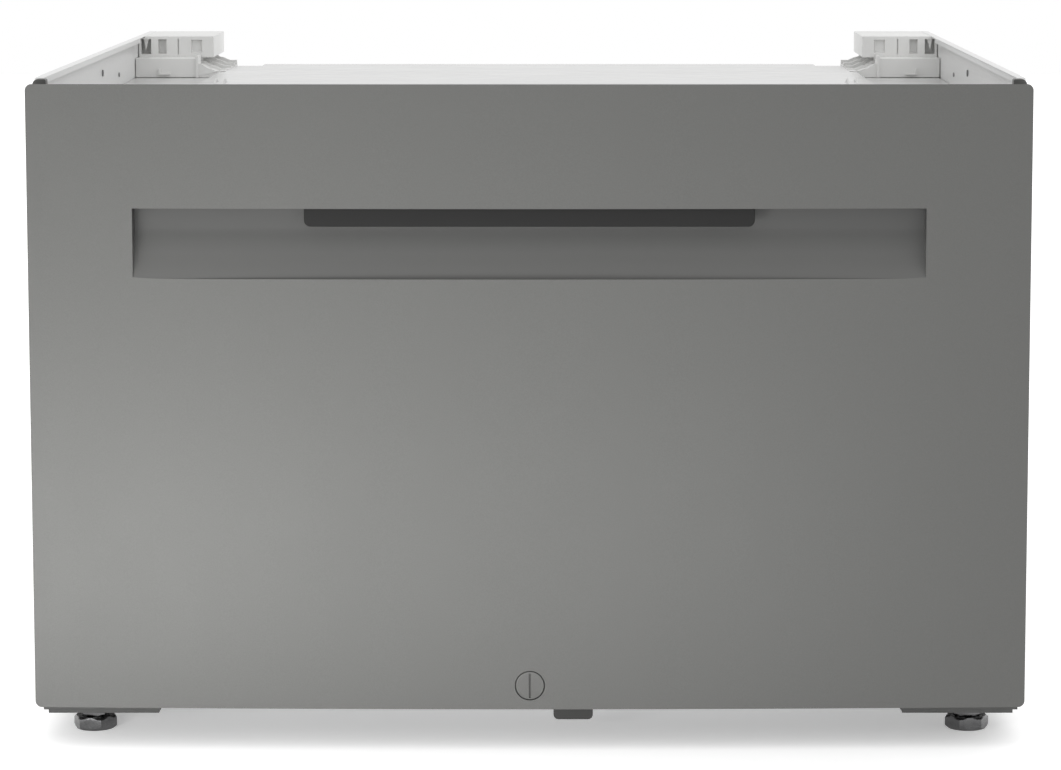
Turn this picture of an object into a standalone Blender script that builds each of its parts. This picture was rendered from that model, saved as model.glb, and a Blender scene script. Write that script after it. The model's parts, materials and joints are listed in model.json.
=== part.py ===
"""Low pull-out drawer washing machine that stands under a front loader.

Metres, +Z up, front towards -Y.  The origin is the middle of the footprint on the floor.
Cabinet: steel sides, base frame, top cover with ribbed corner blocks, four levelling feet.
Drawer: bowed steel front with a finger recess, bin, top-loading tub, drum, pulsator, direct drive.
"""

import math

import bmesh
import bpy
from mathutils import Matrix, Vector

# Overall size
HALF_WIDTH = 0.350
TOP = 0.472
BACK_Y = 0.391
CABINET_FRONT_Y = -0.349
PANEL_PEAK_Y = -0.391
SHEET = 0.001
GAP = 0.0003

# Drawer front panel
PANEL_TOP = 0.4702
PANEL_BOTTOM = 0.0293
PANEL_BACK_Y = -0.3497
PANEL_BOW = 0.0076
PANEL_CORNER = 0.0045
SKIN = 0.0012

# Finger recess and its lever
RECESS_HALF = 0.2765
RECESS_TOP = 0.3838
RECESS_BOTTOM = 0.3347
RECESS_BACK_Y = -0.3705
RECESS_TOE_Y = -0.3868
LEVER_HALF = 0.157
LEVER_BOTTOM = 0.3726
LEVER_FRONT_Y = -0.3845
LEVER_BACK_Y = -0.3815
LEVER_AXIS_Y = -0.3830
LEVER_AXIS_Z = 0.3990

# Coin lock at the foot of the panel
LOCK_Z = 0.0464
LOCK_R = 0.0102
CAM_FRONT_Y = -0.3412
CAM_BACK_Y = -0.3382

# Cabinet
SIDE_BOTTOM = 0.022
SIDE_FRONT_Y = -0.3385
SIDE_RIM = 0.0065
BASE_Z = 0.0235
REAR_PANEL_Y = 0.3705
PLATE_TOP = 0.4425
PLATE_HALF = 0.277
PLATE_FRONT_Y = 0.084
DECK_SHELF = 0.4372
FOOT_X = 0.316
FOOT_Y = (-0.319, 0.345)
FOOT_TURN = {"left": -0.15, "right": 0.10}
FOOT_PLATE_Z = 0.016
FOOT_PLATE_STEP_Z = 0.0188
STEM_R = 0.006
INNER_HALF = HALF_WIDTH - 0.0015
POST_WIDTH = 0.007
BLOCK_REAR_Y = 0.3895

# Water inlet, drain outlet and cord in the rear panel
VALVE_X = -0.200
VALVE_Z = 0.330
DRAIN_X = 0.200
DRAIN_Z = 0.120
CORD_X = 0.285
CORD_Z = 0.300
SPIGOT_FRONT_Y = 0.3500
VALVE_FRONT_Y = 0.3300

# Drawer box and its slides
BIN_HALF = 0.310
BIN_FRONT_Y = -0.3492
BIN_BACK_Y = 0.130
BIN_BOTTOM = 0.060
BIN_TOP = 0.400
BIN_WALL = 0.002
DECK_BOTTOM = BIN_TOP + GAP
DECK_TOP = DECK_BOTTOM + 0.004
RAIL_FRONT_Y = -0.336
RAIL_BACK_Y = 0.124
HOSE_FRONT_Y = BIN_BACK_Y + GAP

# Detergent cup in the deck (low x, high x, low y, high y) and its flap's hinge
CUP = (0.214, 0.262, 0.036, 0.080)
CUP_BOTTOM = 0.345
FLAP_AXIS_X = CUP[1] + 0.0045
FLAP_AXIS_Z = DECK_TOP + 0.0036

# Controls on the deck
STRIP_TOP = 0.4170
STRIP_HALF = 0.262
BUTTONS = {"power_button": -0.180, "start_button": -0.140}
BUTTON_Y = -0.3185
BUTTON_R = 0.0090
DIAL_X = 0.140
DIAL_R = 0.0170
DIAL_BOTTOM = 0.4174
DIAL_TOP = 0.4280

# Tub, drum and drive, all on one vertical axis
AXIS_Y = -0.116
TUB_R = 0.222
TUB_BOTTOM = 0.130
TUB_TOP = 0.380
TUB_WALL = 0.003
MOUTH_R = 0.165
DRUM_R = 0.200
DRUM_BOTTOM = 0.1423
DRUM_TOP = 0.350
ROD_X = 0.200
ROD_Y = 0.170
ROD_R = 0.004
LUG_Z = 0.165
PUMP_X = 0.165
PUMP_Y = -0.020
PUMP_Z = 0.0835
SHAFT_R = 0.0115
SHAFT_BORE_R = 0.0118
ROTOR_R = 0.1120
ROTOR_BOTTOM = 0.0860

# Lid over the mouth
LID_HALF = 0.185
LID_FRONT_Y = -0.290
LID_BACK_Y = 0.062
LID_BOTTOM = DECK_TOP + 0.0004
LID_TOP = 0.4290
LID_AXIS_Y = 0.066
LID_AXIS_Z = 0.4225
WINDOW_R = 0.135
HINGE_PIN_R = 0.0030
HINGE_BORE_R = 0.0034

ROUND = 32
SMALL_ROUND = 12

WHITE = (0.78, 0.78, 0.77)
GREY_PAINT = (0.21, 0.21, 0.20)
DARK = (0.03, 0.03, 0.03)
STEEL = (0.60, 0.60, 0.60)
PALE_PLASTIC = (0.70, 0.71, 0.72)


def clear_scene():
    for old in list(bpy.data.objects):
        bpy.data.objects.remove(old)


def make_material(name, colour, roughness, metallic=0.0):
    made = bpy.data.materials.new(name)
    made.use_nodes = True
    shader = made.node_tree.nodes["Principled BSDF"]
    shader.inputs["Base Color"].default_value = (*colour, 1.0)
    shader.inputs["Roughness"].default_value = roughness
    shader.inputs["Metallic"].default_value = metallic
    return made


# Shape helpers: each adds closed bodies to a bmesh

def on_axis(u, v, along, axis):
    """A point at (u, v) in the plane across the axis, and at `along` on it."""
    places = {"X": (along, u, v), "Y": (u, along, v), "Z": (u, v, along)}
    return places[axis]


def add_loft(bm, loops, closed=False):
    """Skin equal loops of points; a closed loft is a ring, an open one gets two caps."""
    rings = [[bm.verts.new(point) for point in loop] for loop in loops]
    pairs = list(zip(rings, rings[1:]))
    if closed:
        pairs.append((rings[-1], rings[0]))
    count = len(rings[0])
    for low, high in pairs:
        for i in range(count):
            j = (i + 1) % count
            bm.faces.new((low[i], low[j], high[j], high[i]))
    if not closed:
        bm.faces.new(rings[0][::-1])
        bm.faces.new(rings[-1])


def add_prism(bm, outline, axis, low, high):
    add_loft(bm, [[on_axis(u, v, along, axis) for u, v in outline] for along in (low, high)])


def rectangle(u0, u1, v0, v1, inset=0.0):
    return [(u0 + inset, v0 + inset), (u1 - inset, v0 + inset),
            (u1 - inset, v1 - inset), (u0 + inset, v1 - inset)]


def add_box(bm, low, high):
    add_prism(bm, rectangle(low[0], high[0], low[1], high[1]), "Z", low[2], high[2])


def rounded(u0, u1, v0, v1, radius, steps=4):
    """Rectangle outline with four round corners."""
    corners = [(u1 - radius, v0 + radius, -90), (u1 - radius, v1 - radius, 0),
               (u0 + radius, v1 - radius, 90), (u0 + radius, v0 + radius, 180)]
    points = []
    for cu, cv, start in corners:
        for i in range(steps + 1):
            angle = math.radians(start + 90 * i / steps)
            points.append((cu + radius * math.cos(angle), cv + radius * math.sin(angle)))
    return points


def circle(radius, centre, count, turn=0.0):
    return [(centre[0] + radius * math.cos(turn + math.tau * i / count),
             centre[1] + radius * math.sin(turn + math.tau * i / count)) for i in range(count)]


def add_turned(bm, profile, centre, axis="Z", count=ROUND, closed=False):
    """Turn a profile of (radius, place along the axis) about the axis through centre."""
    loops = [[on_axis(u, v, along, axis) for u, v in circle(radius, centre, count)]
             for radius, along in profile]
    add_loft(bm, loops, closed)


def add_cylinder(bm, radius, centre, low, high, axis="Z", count=SMALL_ROUND):
    add_turned(bm, [(radius, low), (radius, high)], centre, axis, count)


def add_ring(bm, inner, outer, centre, low, high, axis="Z", count=ROUND):
    add_turned(bm, [(inner, low), (outer, low), (outer, high), (inner, high)],
               centre, axis, count, closed=True)


def add_tray(bm, outline, axis, outer_face, rim_face, inner_face, inset):
    """Shell with a flat back at outer_face and a rim that reaches rim_face."""
    shapes = [(0.0, outer_face), (0.0, rim_face), (inset, rim_face), (inset, inner_face)]
    loops = []
    for shrink, along in shapes:
        loops.append([on_axis(u, v, along, axis) for u, v in rectangle(*outline, shrink)])
    add_loft(bm, loops)


def add_tube(bm, points, radius, sides):
    """Round tube along a path, with capped ends."""
    path = [Vector(p) for p in points]
    ahead = [b - a for a, b in zip(path, path[1:])]
    tangents = [ahead[0]] + [(a + b).normalized() for a, b in zip(ahead, ahead[1:])] + [ahead[-1]]
    side = tangents[0].orthogonal().normalized()
    loops = []
    previous = tangents[0]
    for place, tangent in zip(path, tangents):
        side = (previous.rotation_difference(tangent) @ side).normalized()
        across = tangent.cross(side).normalized()
        previous = tangent
        loops.append([place + radius * (math.cos(math.tau * i / sides) * side
                                        + math.sin(math.tau * i / sides) * across)
                      for i in range(sides)])
    add_loft(bm, loops)


def helix(centre, radius, low, high, turns, per_turn, axis="Z"):
    total = turns * per_turn
    points = []
    for i in range(total + 1):
        angle = math.tau * i / per_turn
        u = centre[0] + radius * math.cos(angle)
        v = centre[1] + radius * math.sin(angle)
        points.append(on_axis(u, v, low + (high - low) * i / total, axis))
    return points


# Object helpers

def make_object(name, bm, look=None, smooth=False):
    bmesh.ops.recalc_face_normals(bm, faces=bm.faces)
    mesh = bpy.data.meshes.new(name)
    bm.to_mesh(mesh)
    bm.free()
    made = bpy.data.objects.new(name, mesh)
    bpy.context.scene.collection.objects.link(made)
    if look:
        mesh.materials.append(look)
    if smooth:
        soften(made)
    return made


def soften(made):
    made.data.shade_smooth()
    made.data.set_sharp_from_angle(angle=math.radians(32))


def solid(name, builder, look=None, smooth=False):
    """Make one object from a function that fills a bmesh."""
    bm = bmesh.new()
    builder(bm)
    return make_object(name, bm, look, smooth)


def combine(base, tool, operation):
    """Apply an exact Boolean of tool to base, and remove tool."""
    step = base.modifiers.new(operation, "BOOLEAN")
    step.operation = operation
    step.solver = "EXACT"
    step.object = tool
    graph = bpy.context.evaluated_depsgraph_get()
    done = bpy.data.meshes.new_from_object(base.evaluated_get(graph))
    base.modifiers.clear()
    look = base.data.materials[:]
    base.data = done
    base.data.materials.clear()
    for each in look:
        base.data.materials.append(each)
    bpy.data.objects.remove(tool)


def cut(base, builder):
    combine(base, solid(base.name + "_cutter", builder), "DIFFERENCE")


def join(base, builder):
    combine(base, solid(base.name + "_addition", builder), "UNION")


def pivot(made, place):
    """Put the object's origin on its joint's axis without moving the shape."""
    made.data.transform(Matrix.Translation(-Vector(place)))
    made.location = place


def mirrored(outline, side):
    return [(side * u, v) for u, v in outline]


SIDES = (("left", -1), ("right", 1))


# Cabinet

def side_panel(word, side, look):
    def shape(bm):
        add_tray(bm, (SIDE_FRONT_Y, BACK_Y, SIDE_BOTTOM, TOP), "X", side * HALF_WIDTH,
                 side * (HALF_WIDTH - SIDE_RIM), side * (HALF_WIDTH - SHEET), SHEET)
    solid(f"{word}_side_panel", shape, look)


def corner_post(word, side, look):
    def shape(bm):
        outline = rectangle(*sorted((side * (HALF_WIDTH - POST_WIDTH), side * HALF_WIDTH)),
                            CABINET_FRONT_Y + GAP, SIDE_FRONT_Y - GAP)
        add_prism(bm, outline, "Z", SIDE_BOTTOM, TOP)
    solid(f"{word}_corner_post", shape, look)


def base_frame(look):
    """Pressed ring of the base, with a stepped plate at each corner for a foot's thread."""
    half = INNER_HALF
    rail, lip, plate = 0.060, 0.002, 0.0025

    def shape(bm):
        profile = [(0, BASE_Z), (rail, BASE_Z), (rail, 0.045), (rail - lip, 0.045),
                   (rail - lip, BASE_Z + plate), (0, BASE_Z + plate)]
        loops = [[(x, y, z) for x, y in rectangle(-half, half, -0.335, 0.388, inset)]
                 for inset, z in profile]
        add_loft(bm, loops, closed=True)
    frame = solid("base_frame", shape, look)

    def corner_plates(bm):
        for side in (-1, 1):
            for front, back in ((-0.3455, -0.270), (0.310, 0.388)):
                low, high = sorted((side * 0.2655, side * (HALF_WIDTH - GAP)))
                add_box(bm, (low, front, FOOT_PLATE_STEP_Z), (high, back, SIDE_BOTTOM - GAP))

    def lower_plates(bm):
        for side in (-1, 1):
            for front, back in ((-0.3440, -0.272), (0.312, 0.387)):
                low, high = sorted((side * 0.2670, side * 0.3464))
                add_box(bm, (low, front, FOOT_PLATE_Z), (high, back, FOOT_PLATE_STEP_Z + 0.001))
    join(frame, foot_risers)
    join(frame, corner_plates)
    join(frame, lower_plates)

    def holes(bm):
        for x in (-FOOT_X, FOOT_X):
            for y in FOOT_Y:
                add_cylinder(bm, STEM_R + 0.0008, (x, y), 0.010, 0.040)
    cut(frame, holes)


def foot_risers(bm):
    """Packing between the corner plates and the ring, inside the side panels' rims."""
    for side in (-1, 1):
        for front, back in ((-0.3340, -0.276), (0.330, 0.387)):
            low, high = sorted((side * 0.2900, side * 0.3370))
            add_box(bm, (low, front, FOOT_PLATE_Z + 0.0030), (high, back, BASE_Z + 0.0010))


def levelling_foot(name, x, y, turn, look):
    """Hexagonal foot with a chamfered sole, its threaded stem and its lock nut."""
    def sole(bm):
        profile = [(0.0120, 0.0), (0.0160, 0.0025), (0.0160, 0.0078), (0.0140, 0.0095)]
        loops = [[(u, v, z) for u, v in circle(r, (x, y), 6, turn)] for r, z in profile]
        add_loft(bm, loops)
    foot = solid(name, sole, look)
    join(foot, lambda bm: add_cylinder(bm, STEM_R, (x, y), 0.0090, 0.043))

    def nut(bm):
        profile = [(0.0098, 0.0099), (0.0110, 0.0108), (0.0110, 0.0147), (0.0098, 0.0156)]
        loops = [[(u, v, z) for u, v in circle(r, (x, y), 6, turn + 0.4)] for r, z in profile]
        add_loft(bm, loops)
    join(foot, nut)
    pivot(foot, (x, y, 0.0))


def rear_panel(look):
    """Sheet tray with holes for the inlet, the drain and the cord."""
    def shape(bm):
        add_tray(bm, (-INNER_HALF, INNER_HALF, 0.0265, 0.4345), "Y", REAR_PANEL_Y, REAR_PANEL_Y + 0.012,
                 REAR_PANEL_Y + SHEET, SHEET)
    panel = solid("rear_panel", shape, look)

    def holes(bm):
        for x, z, radius in ((VALVE_X, VALVE_Z, 0.0142), (DRAIN_X, DRAIN_Z, 0.0162),
                             (CORD_X, CORD_Z, 0.0102)):
            add_cylinder(bm, radius, (x, z), REAR_PANEL_Y - 0.01, REAR_PANEL_Y + 0.01, "Y", 24)
    cut(panel, holes)


def top_cover(look):
    """Moulded cover: middle plate at the back, and a lower shelf along each side."""
    half = INNER_HALF
    step, thick = 0.002, 0.002

    def shape(bm):
        right = [(half, DECK_SHELF - thick), (half, DECK_SHELF), (PLATE_HALF, DECK_SHELF),
                 (PLATE_HALF, PLATE_TOP)]
        under = [(PLATE_HALF - step, PLATE_TOP - thick), (PLATE_HALF - step, DECK_SHELF - thick)]
        left = mirrored(right, -1)[::-1]
        outline = right + left + mirrored(under, -1)[::-1] + under
        add_prism(bm, outline, "Y", PLATE_FRONT_Y, BACK_Y - 0.0013)
    cover = solid("top_cover", shape, look)

    def arms(bm):
        for side in (-1, 1):
            low, high = sorted((side * 0.279, side * half))
            add_box(bm, (low, SIDE_FRONT_Y + 0.0015, DECK_SHELF - thick),
                    (high, PLATE_FRONT_Y + 0.001, DECK_SHELF))
    join(cover, arms)


def corner_block(word, side, look):
    """Ribbed plastic block that takes the foot of the machine on top."""
    wall = INNER_HALF
    rear = BLOCK_REAR_Y
    shelf = DECK_SHELF + GAP

    def upper(bm):
        rim = HALF_WIDTH - SIDE_RIM - GAP
        outline = [(0.283, 0.454), (wall, 0.454), (wall, 0.4707), (rim, 0.4707),
                   (rim, TOP), (0.283, TOP)]
        add_prism(bm, mirrored(outline, side), "Y", 0.291, rear)

    def lower(bm):
        outline = rectangle(0.295, wall, shelf, 0.456)
        add_prism(bm, mirrored(outline, side), "Y", 0.266, rear - 0.0005)

    def ramp(bm):
        toe = PLATE_TOP + GAP
        outline = [(0.297, shelf), (PLATE_HALF + GAP, shelf), (PLATE_HALF + GAP, toe),
                   (0.271, toe), (0.271, 0.4465), (0.2772, 0.4465), (0.2830, 0.4490),
                   (0.2865, 0.4490), (0.2865, 0.4510), (0.2915, 0.4510), (0.2915, 0.4530),
                   (0.297, 0.4530)]
        add_prism(bm, mirrored(outline, side), "Y", 0.267, rear - 0.001)

    def pockets(bm):
        spans = ((0.2925, 0.3035), (0.3135, 0.3150), (0.3245, 0.3316), (0.3395, 0.3470))
        for low, high in spans:
            outline = rectangle(low, high, 0.4575, 0.4692)
            add_prism(bm, mirrored(outline, side), "Y", 0.280, 0.350)

    block = solid(f"{word}_corner_block", upper, look)
    join(block, lower)
    join(block, ramp)
    cut(block, pockets)


def outer_rail(word, side, look):
    def shape(bm):
        outline = [(0.3185, 0.060), (0.3365, 0.060), (0.3365, 0.080), (0.3487, 0.080),
                   (0.3487, 0.090), (0.3365, 0.090), (0.3365, 0.110), (0.3185, 0.110),
                   (0.3185, 0.108), (0.3345, 0.108), (0.3345, 0.062), (0.3185, 0.062)]
        add_prism(bm, mirrored(outline, side), "Y", RAIL_FRONT_Y, RAIL_BACK_Y)
    solid(f"{word}_outer_rail", shape, look)


def middle_rail(word, side, look):
    def shape(bm):
        outline = [(0.3145, 0.063), (0.3335, 0.063), (0.3335, 0.107), (0.3145, 0.107),
                   (0.3145, 0.105), (0.3315, 0.105), (0.3315, 0.065), (0.3145, 0.065)]
        add_prism(bm, mirrored(outline, side), "Y", RAIL_FRONT_Y, RAIL_BACK_Y)
    solid(f"{word}_middle_rail", shape, look)


def inner_rail(word, side, look):
    near = BIN_HALF + GAP

    def shape(bm):
        outline = [(near, 0.066), (0.3300, 0.066), (0.3300, 0.068), (near + 0.002, 0.068),
                   (near + 0.002, 0.102), (0.3300, 0.102), (0.3300, 0.104), (near, 0.104)]
        add_prism(bm, mirrored(outline, side), "Y", -0.347, RAIL_BACK_Y)
    solid(f"{word}_inner_rail", shape, look)


def lock_catch(look):
    """Keeper behind the panel's foot: its tab shows below the panel."""
    low, high = 0.0164, 0.0447
    front, back = -0.3455, -0.3425

    def shape(bm):
        corner, steps = 0.0035, 4
        outline = [(high, 0.055), (low, 0.055)]
        for i in range(steps + 1):
            angle = math.radians(180 + 90 * i / steps)
            outline.append((low + corner + corner * math.cos(angle),
                            0.0115 + corner + corner * math.sin(angle)))
        for i in range(steps + 1):
            angle = math.radians(270 + 90 * i / steps)
            outline.append((high - corner + corner * math.cos(angle),
                            0.0115 + corner + corner * math.sin(angle)))
        add_prism(bm, outline, "Y", front, back)
    catch = solid("lock_catch", shape, look)
    join(catch, lambda bm: add_box(bm, (low + 0.001, back - 0.001, BASE_Z + 0.0028),
                                   (high - 0.001, -0.305, BASE_Z + 0.0053)))


# Rear fittings: water inlet, drain and the cord's gland

def inlet_valve(look):
    """Threaded inlet through the rear panel, valve body and two solenoids."""
    def inlet(bm):
        add_turned(bm, [(0.0085, 0.3660), (0.0135, 0.3660), (0.0135, 0.3890), (0.0085, 0.3890)],
                   (VALVE_X, VALVE_Z), "Y", 24, closed=True)
    valve = solid("inlet_valve", inlet, look, smooth=True)

    def body(bm):
        add_box(bm, (VALVE_X - 0.030, VALVE_FRONT_Y, VALVE_Z - 0.020),
                (VALVE_X + 0.030, 0.367, VALVE_Z + 0.020))
    join(valve, body)

    def coils(bm):
        for x in (VALVE_X - 0.015, VALVE_X + 0.015):
            add_cylinder(bm, 0.012, (x, 0.349), VALVE_Z + 0.019, VALVE_Z + 0.052, "Z", 20)
    join(valve, coils)


def fill_hose(look):
    """Recoil hose from the valve to the drawer, stored closed: the outside of its coil."""
    def shape(bm):
        add_turned(bm, [(0.020, HOSE_FRONT_Y), (0.020, VALVE_FRONT_Y - GAP)],
                   (VALVE_X, VALVE_Z), "Y", 24)
    solid("fill_hose", shape, look, smooth=True)


def drain_hose(look):
    """Corrugated hose from the drawer's pump to the drain outlet."""
    def shape(bm):
        ribs = 9
        length = SPIGOT_FRONT_Y - GAP - HOSE_FRONT_Y
        profile = []
        for i in range(ribs):
            start = HOSE_FRONT_Y + length * i / ribs
            profile.append((0.0165, start))
            profile.append((0.0195, start + length / ribs / 2))
        profile.append((0.0165, HOSE_FRONT_Y + length))
        add_turned(bm, profile, (DRAIN_X, DRAIN_Z), "Y", 14)
    solid("drain_hose", shape, look, smooth=True)


def drain_outlet(look):
    """Spigot through the rear panel for the drain hose of the house."""
    def shape(bm):
        profile = [(0.0110, SPIGOT_FRONT_Y), (0.0240, SPIGOT_FRONT_Y), (0.0240, 0.3690),
                   (0.0155, 0.3690), (0.0155, 0.3800), (0.0145, 0.3890), (0.0110, 0.3890)]
        add_turned(bm, profile, (DRAIN_X, DRAIN_Z), "Y", 20, closed=True)
    solid("drain_outlet", shape, look, smooth=True)


def cord_gland(look):
    def shape(bm):
        profile = [(0.0045, 0.3650), (0.0130, 0.3650), (0.0130, REAR_PANEL_Y - GAP),
                   (0.0098, REAR_PANEL_Y - GAP), (0.0098, 0.3722), (0.0130, 0.3722),
                   (0.0115, 0.3770), (0.0080, 0.3880), (0.0045, 0.3880)]
        add_turned(bm, profile, (CORD_X, CORD_Z), "Y", 24, closed=True)
    solid("cord_gland", shape, look, smooth=True)


def control_board(look):
    """Electronics case on the inside of the rear panel."""
    def shape(bm):
        add_prism(bm, rounded(-0.100, 0.080, 0.200, 0.330, 0.006, 2), "Y", 0.310, 0.3695)
    solid("control_board", shape, look)


# Drawer front

def bowed_outline(half, inset, back, columns=12):
    """Plan of the front: a shallow bow in front, square behind."""
    points = []
    for i in range(columns + 1):
        x = -half + 2 * half * i / columns
        points.append((x, PANEL_PEAK_Y + inset + PANEL_BOW * (x / HALF_WIDTH) ** 2))
    return points + [(half, back), (-half, back)]


def recess_outline(grow):
    """Section of the finger recess: flat back, then a slope out to the face."""
    front = PANEL_PEAK_Y - 0.01
    back = RECESS_BACK_Y + grow
    return [(front, RECESS_TOP + grow), (back, RECESS_TOP + grow), (back, 0.3600),
            (back - 0.0012, 0.3555 - grow), (back - 0.0040, 0.3510 - grow),
            (RECESS_TOE_Y, RECESS_BOTTOM - grow), (front, RECESS_BOTTOM - grow)]


def front_panel(look):
    """Pressed steel skin with folded edges and the finger recess drawn into it."""
    def outer(bm):
        add_prism(bm, bowed_outline(HALF_WIDTH, 0, PANEL_BACK_Y), "Z", PANEL_BOTTOM, PANEL_TOP)
        corners = []
        for edge in bm.edges:
            run = edge.verts[1].co - edge.verts[0].co
            at_side = all(abs(abs(v.co.x) - HALF_WIDTH) < 1e-5 for v in edge.verts)
            if at_side and abs(run.y) > 0.01:
                corners.append(edge)
        bmesh.ops.bevel(bm, geom=corners, offset=PANEL_CORNER, segments=4, profile=0.5,
                        affect="EDGES")
    panel = solid("front_panel", outer, look)
    cut(panel, lambda bm: add_prism(bm, recess_outline(0), "X", -RECESS_HALF, RECESS_HALF))

    def inside(bm):
        add_prism(bm, bowed_outline(HALF_WIDTH - SKIN, SKIN, PANEL_BACK_Y + 0.01), "Z",
                  PANEL_BOTTOM + SKIN, PANEL_TOP - SKIN)
    hollow = solid("panel_inside", inside)
    cut(hollow, lambda bm: add_prism(bm, recess_outline(SKIN), "X", -RECESS_HALF - SKIN,
                                     RECESS_HALF + SKIN))
    combine(panel, hollow, "DIFFERENCE")

    def lever_slot(bm):
        add_box(bm, (-LEVER_HALF - 0.0008, -0.3880, RECESS_TOP - 0.003),
                (LEVER_HALF + 0.0008, -0.3790, RECESS_TOP + 0.003))
    cut(panel, lever_slot)

    def lock_bore(bm):
        add_cylinder(bm, LOCK_R + 0.0004, (0, LOCK_Z), PANEL_PEAK_Y - 0.01, -0.370, "Y", 24)
    cut(panel, lock_bore)
    soften(panel)


def panel_liner(look):
    """Inner sheet of the front, with the ears that hold the lever's pin."""
    def plate(bm):
        add_prism(bm, rectangle(-0.3475, 0.3475, 0.0320, 0.4680), "Y", -0.3520, -0.3505)
    liner = solid("panel_liner", plate, look)

    def ears(bm):
        for low, high in ((-0.1640, -0.1605), (0.1605, 0.1640)):
            add_box(bm, (low, -0.3870, 0.3920), (high, -0.3515, 0.4060))
    join(liner, ears)

    def bores(bm):
        add_cylinder(bm, 0.0018, (LEVER_AXIS_Y, LEVER_AXIS_Z), -0.170, 0.170, "X", 12)
        add_cylinder(bm, 0.0056, (0, LOCK_Z), -0.360, -0.345, "Y", 20)
    cut(liner, bores)


def handle_lever(look):
    """Dark pull lever that hangs from the roof of the recess."""
    def flap(bm):
        corner, steps = 0.004, 4
        outline = [(LEVER_HALF, 0.3970), (-LEVER_HALF, 0.3970)]
        for sign, start in ((-1, 180), (1, 270)):
            for i in range(steps + 1):
                angle = math.radians(start + 90 * i / steps)
                outline.append((sign * (LEVER_HALF - corner) + corner * math.cos(angle),
                                LEVER_BOTTOM + corner + corner * math.sin(angle)))
        add_prism(bm, outline, "Y", LEVER_FRONT_Y, LEVER_BACK_Y)
    lever = solid("handle_lever", flap, look)
    join(lever, lambda bm: add_cylinder(bm, 0.0042, (LEVER_AXIS_Y, LEVER_AXIS_Z),
                                        -LEVER_HALF, LEVER_HALF, "X", 16))
    cut(lever, lambda bm: add_cylinder(bm, 0.0018, (LEVER_AXIS_Y, LEVER_AXIS_Z),
                                       -0.170, 0.170, "X", 12))
    pivot(lever, (0, LEVER_AXIS_Y, LEVER_AXIS_Z))


def lever_pin(look):
    def shape(bm):
        add_cylinder(bm, 0.0015, (LEVER_AXIS_Y, LEVER_AXIS_Z), -0.1655, 0.1655, "X", 12)
    solid("lever_pin", shape, look, smooth=True)


def lever_spring(look):
    """Return spring between the lever and the liner."""
    def shape(bm):
        path = helix((0, 0.3915), 0.0036, -0.3805, -0.3530, 6, 6, "Y")
        add_tube(bm, path, 0.0005, 4)
    solid("lever_spring", shape, look, smooth=True)


def lock_knob(look):
    """Coin-turned head and its stem."""
    def shape(bm):
        profile = [(LOCK_R - 0.0006, -0.3909), (LOCK_R, -0.3903), (LOCK_R, -0.3870),
                   (0.0050, -0.3870), (0.0050, -0.3370)]
        add_turned(bm, profile, (0, LOCK_Z), "Y", 24)
    knob = solid("lock_knob", shape, look)

    def slot(bm):
        add_box(bm, (-0.0008, -0.400, LOCK_Z - 0.0088), (0.0008, -0.3894, LOCK_Z + 0.0088))
    cut(knob, slot)
    soften(knob)
    pivot(knob, (0, PANEL_PEAK_Y, LOCK_Z))


def lock_cam(look):
    """Tongue on the knob's stem: it hangs down when open, and turns behind the catch."""
    def shape(bm):
        add_prism(bm, rounded(-0.0075, 0.0075, LOCK_Z - 0.0225, LOCK_Z + 0.0080, 0.0030, 3),
                  "Y", CAM_FRONT_Y, CAM_BACK_Y)
    cam = solid("lock_cam", shape, look)
    cut(cam, lambda bm: add_cylinder(bm, 0.0053, (0, LOCK_Z), -0.350, -0.330, "Y", 20))
    pivot(cam, (0, CAM_BACK_Y, LOCK_Z))


# Drawer box

def drawer_bin(look):
    """Steel box that the tub hangs in."""
    def shape(bm):
        shapes = ((0, BIN_BOTTOM), (0, BIN_TOP), (BIN_WALL, BIN_TOP),
                  (BIN_WALL, BIN_BOTTOM + BIN_WALL))
        loops = [[(x, y, z) for x, y in
                  rectangle(-BIN_HALF, BIN_HALF, BIN_FRONT_Y, BIN_BACK_Y, inset)]
                 for inset, z in shapes]
        add_loft(bm, loops)
    solid("drawer_bin", shape, look)


def detergent_cup(bm):
    """Cup moulded into the deck: its walls start inside the deck's opening."""
    low_x, high_x, low_y, high_y = CUP
    wall = 0.0015
    shapes = ((-wall, CUP_BOTTOM), (-wall, DECK_BOTTOM + 0.002), (0, DECK_BOTTOM + 0.002),
              (0, CUP_BOTTOM + wall))
    add_loft(bm, [[(x, y, z) for x, y in rectangle(low_x, high_x, low_y, high_y, inset)]
                  for inset, z in shapes])


def drawer_deck(look):
    """Top of the drawer round the mouth, with the cup, the lid's hinge posts and pins."""
    def plate(bm):
        add_box(bm, (-BIN_HALF, BIN_FRONT_Y, DECK_BOTTOM), (BIN_HALF, BIN_BACK_Y, DECK_TOP))
    deck = solid("drawer_deck", plate, look)

    def openings(bm):
        add_cylinder(bm, MOUTH_R, (0, AXIS_Y), 0.39, 0.42, "Z", 36)
        add_box(bm, (CUP[0], CUP[2], 0.39), (CUP[1], CUP[3], 0.42))
        for x, y in rod_places():
            add_cylinder(bm, ROD_R + GAP, (x, y), 0.39, 0.42, "Z", 12)
    cut(deck, openings)
    join(deck, detergent_cup)

    def posts(bm):
        for side in (-1, 1):
            low, high = sorted((side * 0.1310, side * 0.1370))
            add_box(bm, (low, LID_BACK_Y + 0.0005, DECK_TOP - 0.001), (high, 0.0745, 0.4290))
    join(deck, posts)

    def pins(bm):
        for side in (-1, 1):
            low, high = sorted((side * 0.1120, side * 0.1340))
            add_cylinder(bm, HINGE_PIN_R, (LID_AXIS_Y, LID_AXIS_Z), low, high, "X", 16)
    join(deck, pins)


def rod_places():
    return [(sx * ROD_X, AXIS_Y + sy * ROD_Y) for sx in (-1, 1) for sy in (-1, 1)]


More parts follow.
